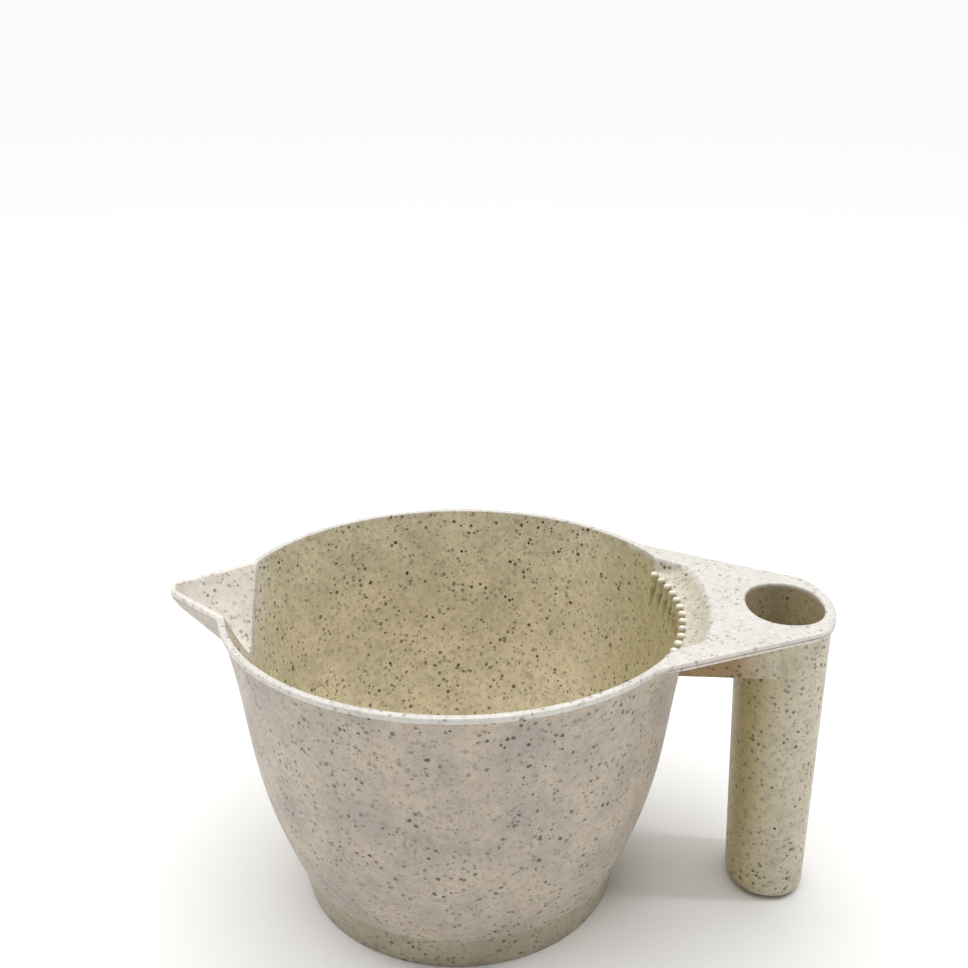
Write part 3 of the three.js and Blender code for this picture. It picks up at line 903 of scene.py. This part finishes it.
def plastic(part):
    """The plastic of one part of the bowl, made once."""
    c = settings().colours
    satin = "Satin straw plastic, "
    finishes = {
        # The outer wall's ground is partly painted shade.
        "outside": ("Satin straw plastic", c.outside, c.outside_cool, 0.42, 1.0),
        # The inner wall takes painted shade towards the comb and the spout's painted light by the
        # spout's root.
        "inside": (satin + "inner wall", c.inside, c.inside_cool, 0.36, 1.05,
                   (c.inside_shade, 0, AXIS_X + 60 * MM, AXIS_X + 30 * MM),
                   (c.spout, 0, AXIS_X - 61.5 * MM, AXIS_X - 56.5 * MM)),
        # The floor's ground is a painted shade; its low roughness is its real polish.
        "floor": ("Polished straw plastic, bowl floor", c.floor, c.floor_cool, 0.07, 1.0),
        "deck": (satin + "deck", c.deck, c.deck_cool, 0.4, 0.6),
        # The deck's side carries the parting line's painted shade as a thin band part way down.
        "edge": (satin + "parting line of the deck", c.deck, c.deck_cool, 0.4, 0.6,
                 (c.parting, 2, RIM_Z - 1.15 * MM, RIM_Z - 1.0 * MM),
                 (c.deck, 2, RIM_Z - 1.5 * MM, RIM_Z - 1.4 * MM)),
        # The drain recess turns from the deck's colour to a painted shade as it goes deeper.
        "recess": (satin + "drain recess", c.deck, c.deck_cool, 0.4, 0.9,
                   (c.recess, 2, RIM_Z - 1.9 * MM, RIM_Z - 0.3 * MM)),
        # The mouth's edge turns from the deck's colour to the socket's painted shade as it goes
        # down into the hole.
        "mouth": (satin + "mouth of the grip", c.deck, c.deck_cool, 0.4, 0.7,
                  (c.socket, 2, RIM_Z - 1.7 * MM, RIM_Z - 0.4 * MM)),
        # The teeth have light tops as painted highlight and turn to the inner wall's painted shade
        # lower down.
        "comb": (satin + "comb", c.comb, c.deck, 0.3, 0.4,
                 (c.inside_shade, 2, TOOTH_TOP_Z - 1.5 * MM, TOOTH_TOP_Z - 0.5 * MM)),
        # Inside the spout the ground is a painted light.
        "spout": (satin + "spout", c.spout, c.spout_cool, 0.32, 0.7),
        "grip": (satin + "grip", c.grip, c.grip_cool, 0.42, 1.0,
                 (c.grip_shade, 0, AXIS_X + 76.5 * MM, AXIS_X + 91 * MM)),
        # Inside the grip the whole surface takes the socket's painted shade.
        "socket": (satin + "socket", c.socket, c.socket, 0.42, 1.0),
        # The webs turn from the grip's colour to a painted shade towards the bowl, where the deck
        # shades them.
        "shaded_web": (satin + "webs", c.grip, c.grip_cool, 0.42, 1.0,
                (c.shaded_web, 0, AXIS_X + 72 * MM, AXIS_X + 86 * MM)),
        # The foot ring's ground is a painted shade, darker and greener than the wall.
        "foot": (satin + "foot", c.foot, c.foot_cool, 0.36, 1.0),
    }
    name = finishes[part][0]
    return bpy.data.materials.get(name) or speckled_plastic(*finishes[part])


# ---- pieces ----


class TINTBOWL_OT_bowl_shell(bpy.types.Operator):
    """Bowl wall and floor, cut away at its top for the spout and the drain recess"""

    bl_idname = "tint_bowl.bowl_shell"
    bl_label = "Bowl shell"

    def execute(self, context):
        b = settings().bowl
        count = b.columns
        angles = np.linspace(0, 2 * math.pi, count, endpoint=False)
        top = wall_top(angles)
        rings, finishes = [], []

        def ring(r, z, finish):
            rings.append(np.column_stack([r * np.cos(angles), r * np.sin(angles), z + 0 * angles]))
            finishes.append(finish)

        under_z = b.floor_z - b.floor_thickness
        seat_r = FOOT_TOP_R - b.foot_wall / 2
        ring(POLE_R, under_z, 0)
        ring(0.5 * seat_r, under_z, 0)
        ring(seat_r - 2 * UNDER_STEP, under_z, 0)
        ring(seat_r - UNDER_STEP, CREASE_Z - UNDER_DROP, 0)
        for share in np.linspace(0, 1, WALL_ROWS):
            z = CREASE_Z + (top - CREASE_Z) * share
            ring(radius_at(z), z, 0)
        low_z = b.floor_z + b.floor_fillet * (1 + math.sin(FILLET_TOP))
        for share in np.linspace(1, 0, WALL_ROWS)[:-1]:
            z = low_z + (top - low_z) * share
            ring(inner_radius(z), z, 1)
        for a in np.linspace(FILLET_TOP, -math.pi / 2, FILLET_ROWS):
            r = b.floor_disc + b.floor_fillet * math.cos(a)
            ring(r, b.floor_z + b.floor_fillet * (1 + math.sin(a)), 2 if a < POLISH_FROM else 1)
        for share in FLOOR_RINGS:
            ring(b.floor_disc * share, b.floor_z, 2)
        ring(POLE_R, b.floor_z, 2)
        face_finishes = [finish for finish in finishes[1:] for _ in range(count)] + [0, 2]
        materials = [plastic("outside"), plastic("inside"), plastic("floor")]
        new_piece("bowl_shell_moulded", np.concatenate(rings), capped_faces(len(rings), count),
                  materials, ["bowl_shell"], face_finishes)
        return {"FINISHED"}


def rounded(corners, radius, steps=5):
    """A closed polygon with each corner rounded off."""
    points = []
    for before, corner, after in zip(np.roll(corners, 1, axis=0), corners,
                                     np.roll(corners, -1, axis=0)):
        to_before = (before - corner) / np.linalg.norm(before - corner)
        to_after = (after - corner) / np.linalg.norm(after - corner)
        for t in np.linspace(0, 1, steps):
            points.append(corner + radius * ((1 - t) ** 2 * to_before + t * t * to_after))
    return np.array(points)


def grown_mesh(name, tree, values):
    """Runs a node tree with the named values and returns its result as a plain mesh."""
    carrier = bpy.data.objects.new(name, bpy.data.meshes.new(name + "_seed"))
    bpy.context.scene.collection.objects.link(carrier)
    modifier = carrier.modifiers.new("Grow", "NODES")
    modifier.node_group = tree
    for item in tree.interface.items_tree:
        if item.item_type == "SOCKET" and item.in_out == "INPUT" and item.name in values:
            modifier[item.identifier] = values[item.name]
    carrier.update_tag()
    depsgraph = bpy.context.evaluated_depsgraph_get()
    mesh = bpy.data.meshes.new_from_object(carrier.evaluated_get(depsgraph))
    bpy.data.objects.remove(carrier)
    if not mesh.polygons:
        raise RuntimeError(f"the node tree of {name} made nothing")
    return mesh


class TINTBOWL_OT_foot_ring(bpy.types.Operator):
    """Foot ring: a thin tapered wall under the bowl"""

    bl_idname = "tint_bowl.foot_ring"
    bl_label = "Foot ring"

    def execute(self, context):
        b = settings().bowl
        corners = np.array([
            [b.foot_bottom, 0.0], [FOOT_TOP_R, CREASE_Z],
            [FOOT_TOP_R - b.foot_wall, CREASE_Z], [b.foot_bottom - b.foot_wall, 0.0],
        ])
        profile = rounded(corners, FOOT_CORNER_R)
        count = len(profile)
        rings = turned(profile, np.linspace(0, 2 * math.pi, b.columns, endpoint=False))
        faces = skin_faces(len(rings), count) + ring_faces((len(rings) - 1) * count, 0, count)
        new_piece("foot_ring_moulded", np.concatenate(rings), faces, [plastic("foot")],
                  ["foot_ring"])
        return {"FINISHED"}


def lip_profile():
    """Section of the rim's lip as (radius, height), from its inner foot over the top."""
    b = settings().bowl
    edge_r, edge_z = (float(v[0]) for v in rim_edge(np.array([math.pi / 2])))
    low_z = RIM_Z - b.lip_height
    quarter = math.pi / 2
    inner = arc(edge_r + b.inner_round, edge_z, b.inner_round, math.pi, quarter, 7)
    outer = arc(RIM_R - b.outer_round, RIM_Z - b.outer_round, b.outer_round, quarter, 0, 7)
    under = arc(RIM_R - b.under_round, low_z + b.under_round, b.under_round, 0, -quarter, 5)
    foot = [[float(inner_radius(low_z)), low_z]]
    return np.concatenate([foot, inner, outer, under])


class TINTBOWL_OT_rim_lips(bpy.types.Operator):
    """Rim lips: the rounded rim from the deck to the spout, on each side"""

    bl_idname = "tint_bowl.rim_lips"
    bl_label = "Rim lips"

    def execute(self, context):
        start, _ = deck_outline(1 * MM)
        end, _ = spout_outline(1 * MM)
        profile = lip_profile()
        count = len(profile)
        inner_face = [1] + [0] * (count - 1)
        for side, name in ((-1, "rim_lip_front"), (1, "rim_lip_back")):
            rings = turned(profile, side * np.linspace(start, end, LIP_COLUMNS))
            new_piece(name + "_moulded", np.concatenate(rings), capped_faces(len(rings), count),
                      [plastic("deck"), plastic("inside")], [name],
                      inner_face * (len(rings) - 1) + [0, 0])
        return {"FINISHED"}


def root_seats(angles):
    """Upper and lower edge points of a plate where it sits on the bowl's inner wall."""
    edge_r, edge_z = rim_edge(angles)
    seat_z = wall_top(angles)
    seat_r = inner_radius(seat_z)
    upper = np.stack([edge_r * np.cos(angles), edge_r * np.sin(angles)], axis=1)
    lower = np.column_stack([seat_r * np.cos(angles), seat_r * np.sin(angles), seat_z])
    return upper, lower


def plate_fill(points, loop, edges, hole=None):
    """Points inside a plate's plan: rows close beside its edges, and those clear of the rows.

    Each edge is (line, radius of its rounding, to which side its rows lie, whether it's closed).
    """
    rows, clear = [], np.ones(len(points), dtype=bool)
    for line, radius, side, closed in edges:
        rows += [beside(line, side * radius * share, closed) for share in EDGE_SHARES]
        clear &= distance_to(points, line, closed) > EDGE_CLEAR * radius
    fill = np.concatenate([*rows, points[clear]])
    keep = inside(fill, loop)
    if hole is not None:
        keep &= ~inside(fill, hole)
    fill = fill[keep]
    return fill[distance_to(fill, loop, closed=True) > APART]


def plate_loop(root, outline):
    """The outer loop of a plate: its root on the rim, its outer edge, and the cuts between."""
    cut = np.linspace(0, 1, CUT_POINTS)[1:-1, None]
    first_cut = root[-1] + cut * (outline[0] - root[-1])
    second_cut = outline[-1] + cut * (root[0] - outline[-1])
    return np.concatenate([root, first_cut, outline, second_cut])


def edge_drop(points):
    """Drop of the rim's inner rounding, from the distance to the inner edge."""
    angles = np.arctan2(points[:, 1], points[:, 0])
    grid = np.linspace(-math.pi, math.pi, 4096)
    edge_r, _ = rim_edge(grid)
    distance = np.hypot(points[:, 0], points[:, 1]) - np.interp(angles, grid, edge_r)
    return rounding(np.maximum(distance, 0), settings().bowl.inner_round)


class TINTBOWL_OT_handle_deck(bpy.types.Operator):
    """Deck between the rim and the grip, with its drain recess and the mouth of the grip"""

    bl_idname = "tint_bowl.handle_deck"
    bl_label = "Handle deck"

    def execute(self, context):
        b, d, g = settings().bowl, settings().deck, settings().grip
        start, outline = deck_outline(DECK_EDGE_SPACING)
        root, seats = root_seats(np.linspace(-start, start, DECK_ROOT_POINTS))
        loop = plate_loop(root, outline)
        mouth = even_oval(g.inner_top_x, g.inner_top_y, grip_centre(GRIP_TOP_Z), MOUTH_POINTS)
        coarse = lattice(*DECK_AREA, DECK_SPACING)
        close = lattice(*RECESS_AREA, RECESS_SPACING)
        close = close[recess_height(close[:, 0], close[:, 1]) < RIM_Z + RECESS_MARGIN]
        apart = distance_to(coarse, close[::3]) > RECESS_CLEAR
        edges = [(outline, b.outer_round, -1, False), (root, b.inner_round, -1, False),
                 (mouth, d.mouth_round, -1, True)]
        fill = plate_fill(np.concatenate([coarse[apart], close]), loop, edges, mouth)

        def heights(points):
            x, y = points.T
            side = distance_to(points, outline)
            hole = distance_to(points, mouth, closed=True)
            top = top_height(x, y) - edge_drop(points)
            top = top - rounding(side, b.outer_round) - rounding(hole, d.mouth_round)
            beyond = smooth_step((np.hypot(x, y) - RIM_R) / DECK_THICKENS_OVER)
            thick = b.lip_height + (d.thickness - b.lip_height) * beyond
            under = soft_min(RIM_Z - thick, recess_height(x, y) - d.dish, DISH_CREASE)
            return top, under + rounding(side, b.under_round)

        points, faces, under = moulded_plate([loop, mouth], fill, heights, seats)
        middles = np.array([points[list(face)].mean(axis=0) for face in faces])
        from_edge = distance_to(middles[:, :2], outline)
        # Low faces take the recess and mouth materials, which paint shade deeper down.
        low = ~under & (middles[:, 2] < RIM_Z - LOW_BY) & (from_edge > EDGE_BAND)
        at_mouth = low & (distance_to(middles[:, :2], mouth, closed=True) < MOUTH_BAND)
        # Side faces take the edge material with the parting line's painted shade.
        side = np.array([len(face) == 4 for face in faces]) & (from_edge < SIDE_BAND)
        finish = np.where(side, 3, low.astype(int) + at_mouth)
        new_piece("handle_deck_moulded", points, faces,
                  [plastic(part) for part in ("deck", "recess", "mouth", "edge")],
                  ["handle_deck"], finish.tolist())
        return {"FINISHED"}


class TINTBOWL_OT_pouring_spout(bpy.types.Operator):
    """Pouring spout: a V-shaped trough with a straight keel and a rounded tip"""

    bl_idname = "tint_bowl.pouring_spout"
    bl_label = "Pouring spout"

    def execute(self, context):
        b = settings().bowl
        start, outline = spout_outline(SPOUT_SPACING)
        root, seats = root_seats(np.linspace(2 * math.pi - start, start, SPOUT_ROOT_POINTS))
        loop = plate_loop(root, outline)
        points = lattice(*SPOUT_AREA, SPOUT_SPACING)
        edges = [(outline, b.outer_round, 1, False), (root, b.inner_round, 1, False)]
        fill = plate_fill(points, loop, edges)

        def heights(points):
            x, y = points.T
            side = distance_to(points, outline)
            top = top_height(x, y) - edge_drop(points) - rounding(side, b.outer_round)
            return top, keel_height(x, y) + rounding(side, b.under_round)

        points, faces, under = moulded_plate([loop], fill, heights, seats)
        new_piece("pouring_spout_moulded", points, faces, [plastic("spout"), plastic("outside")],
                  ["pouring_spout"], under.astype(int).tolist())
        return {"FINISHED"}


class TINTBOWL_OT_deck_webs(bpy.types.Operator):
    """Side webs: thin upright sheets under the deck, from the bowl wall to the grip"""

    bl_idname = "tint_bowl.deck_webs"
    bl_label = "Deck webs"

    def execute(self, context):
        half = (WEB_OUTER_Y - WEB_INNER_Y) / 2
        middle = (WEB_OUTER_Y + WEB_INNER_Y) / 2
        low_z = WEB_BOTTOM_Z + WEB_ROUND
        section = np.concatenate([
            [[half, RIM_Z]],
            arc(half - WEB_ROUND, low_z, WEB_ROUND, 0, -math.pi / 2, 6),
            arc(WEB_ROUND - half, low_z, WEB_ROUND, -math.pi / 2, -math.pi, 6),
            [[-half, RIM_Z]],
        ])
        for side, name in ((-1, "deck_web_front"), (1, "deck_web_back")):
            rings = []
            for share in np.linspace(0, 1, WEB_COLUMNS):
                y = side * (middle + section[:, 0])
                z = section[:, 1].copy()
                wall_x = np.sqrt((radius_at(z) - WEB_IN_WALL) ** 2 - y * y)
                x = wall_x + (GRIP_X - wall_x) * share
                ceiling = recess_height(x, y) - WEB_BELOW_RECESS
                ceiling = np.minimum(GRIP_TOP_Z + WEB_IN_DECK, ceiling)
                rings.append(np.column_stack([x, y, np.minimum(z, ceiling)]))
            faces = capped_faces(len(rings), len(section))
            new_piece(name + "_moulded", np.concatenate(rings), faces, [plastic("shaded_web")],
                      [name])
        return {"FINISHED"}


class TINTBOWL_OT_grip_tube(bpy.types.Operator):
    """Grip: an oval tube that narrows downwards, closed at its lower end"""

    bl_idname = "tint_bowl.grip_tube"
    bl_label = "Grip tube"

    def execute(self, context):
        g = settings().grip
        count, rings = GRIP_COLUMNS, []

        def section(semi, z, shrink=0.0, scale=1.0):
            ring = oval((semi[0] - shrink) * scale, (semi[1] - shrink) * scale,
                        grip_centre(z), count)
            rings.append(np.column_stack([ring, np.full(count, z)]))

        def tapered(z, low_z, bottom, top):
            bottom = np.array(bottom)
            return bottom + (np.array(top) - bottom) * ((z - low_z) / (GRIP_TOP_Z - low_z))

        def outer(z):
            return tapered(z, GRIP_BOTTOM_Z, (g.outer_bottom_x, g.outer_bottom_y),
                           (g.outer_top_x, g.outer_top_y))

        def inner(z):
            return tapered(z, g.floor_z, (g.inner_bottom_x, g.inner_bottom_y),
                           (g.inner_top_x, g.inner_top_y))

        for scale in CAP_SCALES:
            section(outer(GRIP_BOTTOM_Z), GRIP_BOTTOM_Z, g.end_round, scale)
        for a in np.linspace(-math.pi / 2, 0, GRIP_EDGE_ROWS):
            z = GRIP_BOTTOM_Z + g.end_round * (1 + math.sin(a))
            section(outer(z), z, g.end_round * (1 - math.cos(a)))
        for z in np.linspace(GRIP_BOTTOM_Z + g.end_round, GRIP_TOP_Z, GRIP_ROWS)[1:]:
            section(outer(z), z)
        outer_rings = len(rings)
        for z in np.linspace(GRIP_TOP_Z, g.floor_z + g.end_round, GRIP_ROWS):
            section(inner(z), z)
        for a in np.linspace(0, -math.pi / 2, GRIP_EDGE_ROWS)[1:]:
            z = g.floor_z + g.end_round * (1 + math.sin(a))
            section(inner(z), z, g.end_round * (1 - math.cos(a)))
        for scale in reversed(CAP_SCALES):
            section(inner(g.floor_z), g.floor_z, g.end_round, scale)
        inner_rings = len(rings) - outer_rings
        # The grip's inner faces take the socket's painted shade.
        finish = [0] * count * (outer_rings - 1) + [1] * count * inner_rings + [0, 1]
        new_piece("grip_tube_moulded", np.concatenate(rings), capped_faces(len(rings), count),
                  [plastic("grip"), plastic("socket")], ["grip_tube"], finish)
        return {"FINISHED"}


def tooth_mesh():
    """One tooth standing on the X axis: a rib with a round nose and a domed top."""
    c = settings().comb
    r = c.tooth_r
    rings = []
    knot_z = TOOTH_TOP_Z - c.knot_drop
    levels = [(c.bottom_z, 1.0), *((knot_z + rise, scale) for rise, scale in TOOTH_KNOT)]
    levels.append((TOOTH_TOP_Z - r, 1.0))
    for a in np.linspace(0, math.pi / 2, 9)[1:]:
        levels.append((TOOTH_TOP_Z - r + r * math.sin(a), max(math.cos(a), TOOTH_TIP)))
    for z, scale in levels:
        nose = arc(0, 0, r * scale, math.pi / 2, 3 * math.pi / 2, 13)
        back = np.array([[TOOTH_REACH * scale, -r * scale], [TOOTH_REACH * scale, r * scale]])
        plan = np.concatenate([nose, back])
        rings.append(np.column_stack([plan, np.full(len(plan), z)]))
    faces = capped_faces(len(rings), len(rings[0]))
    points = np.concatenate(rings)
    limit = inner_radius(points[:, 2]) + TOOTH_IN_WALL - c.circle_r
    points[:, 0] -= TOOTH_PRESSED * np.maximum(points[:, 0] - limit, 0)
    return smooth_mesh("comb_tooth_seed", points, faces)


def comb_tree():
    """Geometry Nodes: copies of one tooth at an even pitch on an arc about the bowl axis."""
    tree = bpy.data.node_groups.new("Comb teeth", "GeometryNodeTree")
    tree.interface.new_socket("Geometry", in_out="OUTPUT", socket_type="NodeSocketGeometry")
    for name, kind in (("Tooth", "Object"), ("Count", "Int"), ("Pitch", "Float"),
                       ("Circle radius", "Float"), ("Axis", "Float"), ("Material", "Material")):
        tree.interface.new_socket(name, in_out="INPUT", socket_type="NodeSocket" + kind)
    given = add(tree, "NodeGroupInput").outputs
    line = add(tree, "GeometryNodeMeshLine", {"Count": given["Count"]})
    index = add(tree, "GeometryNodeInputIndex").outputs[0]
    middle = calculate(tree, "MULTIPLY", calculate(tree, "SUBTRACT", given["Count"], 1.0), 0.5)
    from_middle = calculate(tree, "SUBTRACT", index, middle)
    heading = calculate(tree, "MULTIPLY", from_middle, given["Pitch"])
    cosine = add(tree, "ShaderNodeMath", {0: heading}, operation="COSINE").outputs[0]
    sine = add(tree, "ShaderNodeMath", {0: heading}, operation="SINE").outputs[0]
    x = calculate(tree, "MULTIPLY", cosine, given["Circle radius"])
    x = calculate(tree, "ADD", x, given["Axis"])
    y = calculate(tree, "MULTIPLY", sine, given["Circle radius"])
    place = add(tree, "ShaderNodeCombineXYZ", {0: x, 1: y}).outputs[0]
    moved = add(tree, "GeometryNodeSetPosition", {"Geometry": line.outputs[0], "Position": place})
    turn = add(tree, "ShaderNodeCombineXYZ", {2: heading}).outputs[0]
    tooth = add(tree, "GeometryNodeObjectInfo", {"Object": given["Tooth"]})
    copies = add(
        tree, "GeometryNodeInstanceOnPoints",
        {"Points": moved.outputs[0], "Instance": tooth.outputs["Geometry"], "Rotation": turn},
    )
    real = add(tree, "GeometryNodeRealizeInstances", {0: copies.outputs[0]})
    done = add(tree, "GeometryNodeSetMaterial", {0: real.outputs[0], "Material": given["Material"]})
    add(tree, "NodeGroupOutput", {0: done.outputs[0]})
    return tree


class TINTBOWL_OT_comb(bpy.types.Operator):
    """Wiping comb: ribs with round noses on the inner wall below the drain recess"""

    bl_idname = "tint_bowl.comb"
    bl_label = "Wiping comb"

    def execute(self, context):
        c = settings().comb
        seed = bpy.data.objects.new("comb_tooth_seed", tooth_mesh())
        context.scene.collection.objects.link(seed)
        mesh = grown_mesh("wiping_comb", comb_tree(), {
            "Tooth": seed, "Count": c.count, "Pitch": c.pitch, "Circle radius": c.circle_r,
            "Axis": AXIS_X, "Material": plastic("comb"),
        })
        bpy.data.objects.remove(seed)
        claim("wiping_comb", mesh,
              [f"comb_tooth_{i + 1:02d}" for i in range(c.count)])
        return {"FINISHED"}


def plain_material(name, hex_value, roughness):
    """Plain matt paper for the floor."""
    material = bpy.data.materials.new(name)
    tree = empty_tree(material)
    shader = add(tree, "ShaderNodeBsdfPrincipled",
                 {"Base Color": linear(hex_value), "Roughness": roughness})
    add(tree, "ShaderNodeOutputMaterial", {"Surface": shader.outputs[0]})
    return material


def studio_world(strength):
    """Surroundings in the colour of the paper: bright to the eye, dimmer as a light."""
    world = bpy.data.worlds.new("Studio")
    tree = empty_tree(world)
    seen = add(tree, "ShaderNodeLightPath").outputs["Is Camera Ray"]
    power = remap(tree, seen, 0, 1, strength, 1)
    sky = add(tree, "ShaderNodeBackground", {"Color": linear(PAPER), "Strength": power})
    add(tree, "ShaderNodeOutputWorld", {"Surface": sky.outputs[0]})
    return world


def aimed(name, data, place, direction):
    """Adds an object that looks from a place along a direction."""
    thing = bpy.data.objects.new(name, data)
    thing.location = place
    thing.rotation_mode = "QUATERNION"
    thing.rotation_quaternion = Vector(direction).to_track_quat("-Z", "Y")
    bpy.context.scene.collection.objects.link(thing)
    return thing


def softbox(name, place, watts):
    light = bpy.data.lights.new(name, "AREA")
    light.shape = "RECTANGLE"
    light.size, light.size_y = STRIP_SIZE
    light.energy = watts
    aimed(name, light, place, Vector(STRIP_AIM) - Vector(place))


class TINTBOWL_OT_stage(bpy.types.Operator):
    """Pale floor, soft studio light and the camera"""

    bl_idname = "tint_bowl.stage"
    bl_label = "Stage"

    def execute(self, context):
        scene = context.scene
        h = FLOOR_HALF
        mesh = bpy.data.meshes.new("floor")
        mesh.from_pydata([(-h, -h, 0), (h, -h, 0), (h, h, 0), (-h, h, 0)], [], [(0, 1, 2, 3)])
        mesh.materials.append(plain_material("Matt white paper", PAPER, PAPER_ROUGHNESS))
        floor = bpy.data.objects.new("floor", mesh)
        scene.collection.objects.link(floor)
        scene.world = studio_world(SKY_STRENGTH)
        daylight = bpy.data.lights.new("Overhead softlight", "SUN")
        daylight.energy = DAYLIGHT_STRENGTH
        daylight.angle = DAYLIGHT_SPREAD
        aimed("Overhead softlight", daylight, (0, 0, 0), DAYLIGHT_DIRECTION)
        for name, place, watts in STRIPS:
            softbox(name, place, watts)
        camera = bpy.data.cameras.new("Camera")
        camera.sensor_width = 36
        camera.lens = CAMERA_LENS
        level = math.cos(CAMERA_ELEVATION)
        back = Vector((math.sin(CAMERA_AZIMUTH) * level, -math.cos(CAMERA_AZIMUTH) * level,
                       math.sin(CAMERA_ELEVATION)))
        scene.camera = aimed("Camera", camera, Vector(CAMERA_AIM) + back * CAMERA_AWAY, -back)
        scene.view_settings.view_transform = "Standard"
        return {"FINISHED"}


OPERATORS = (
    TINTBOWL_OT_bowl_shell, TINTBOWL_OT_foot_ring, TINTBOWL_OT_rim_lips,
    TINTBOWL_OT_handle_deck, TINTBOWL_OT_pouring_spout, TINTBOWL_OT_deck_webs,
    TINTBOWL_OT_grip_tube, TINTBOWL_OT_comb, TINTBOWL_OT_stage,
)


class TINTBOWL_PT_panel(bpy.types.Panel):
    """Panel that lists the bowl's operators and settings"""

    bl_label = "Tint Bowl"
    bl_idname = "TINTBOWL_PT_panel"
    bl_space_type = "VIEW_3D"
    bl_region_type = "UI"
    bl_category = "Tint Bowl"

    def draw(self, context):
        for operator in OPERATORS:
            self.layout.operator(operator.bl_idname)
        for group in ("bowl", "spout", "deck", "grip", "comb", "colours"):
            box = self.layout.box()
            box.label(text=group.capitalize())
            sizes = getattr(context.scene.tint_bowl, group)
            for key in type(sizes).__annotations__:
                box.prop(sizes, key)


CLASSES = (
    BowlSizes, SpoutSizes, DeckSizes, GripSizes, CombSizes, PlasticColours, TintBowlSettings,
    *OPERATORS, TINTBOWL_PT_panel,
)


def register():
    for item in CLASSES:
        bpy.utils.register_class(item)
    bpy.types.Scene.tint_bowl = bpy.props.PointerProperty(type=TintBowlSettings)


def unregister():
    del bpy.types.Scene.tint_bowl
    for item in reversed(CLASSES):
        bpy.utils.unregister_class(item)


def main():
    register()
    for operator in OPERATORS:
        group, name = operator.bl_idname.split(".")
        getattr(getattr(bpy.ops, group), name)()
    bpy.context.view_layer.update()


if __name__ == "__main__":
    main()
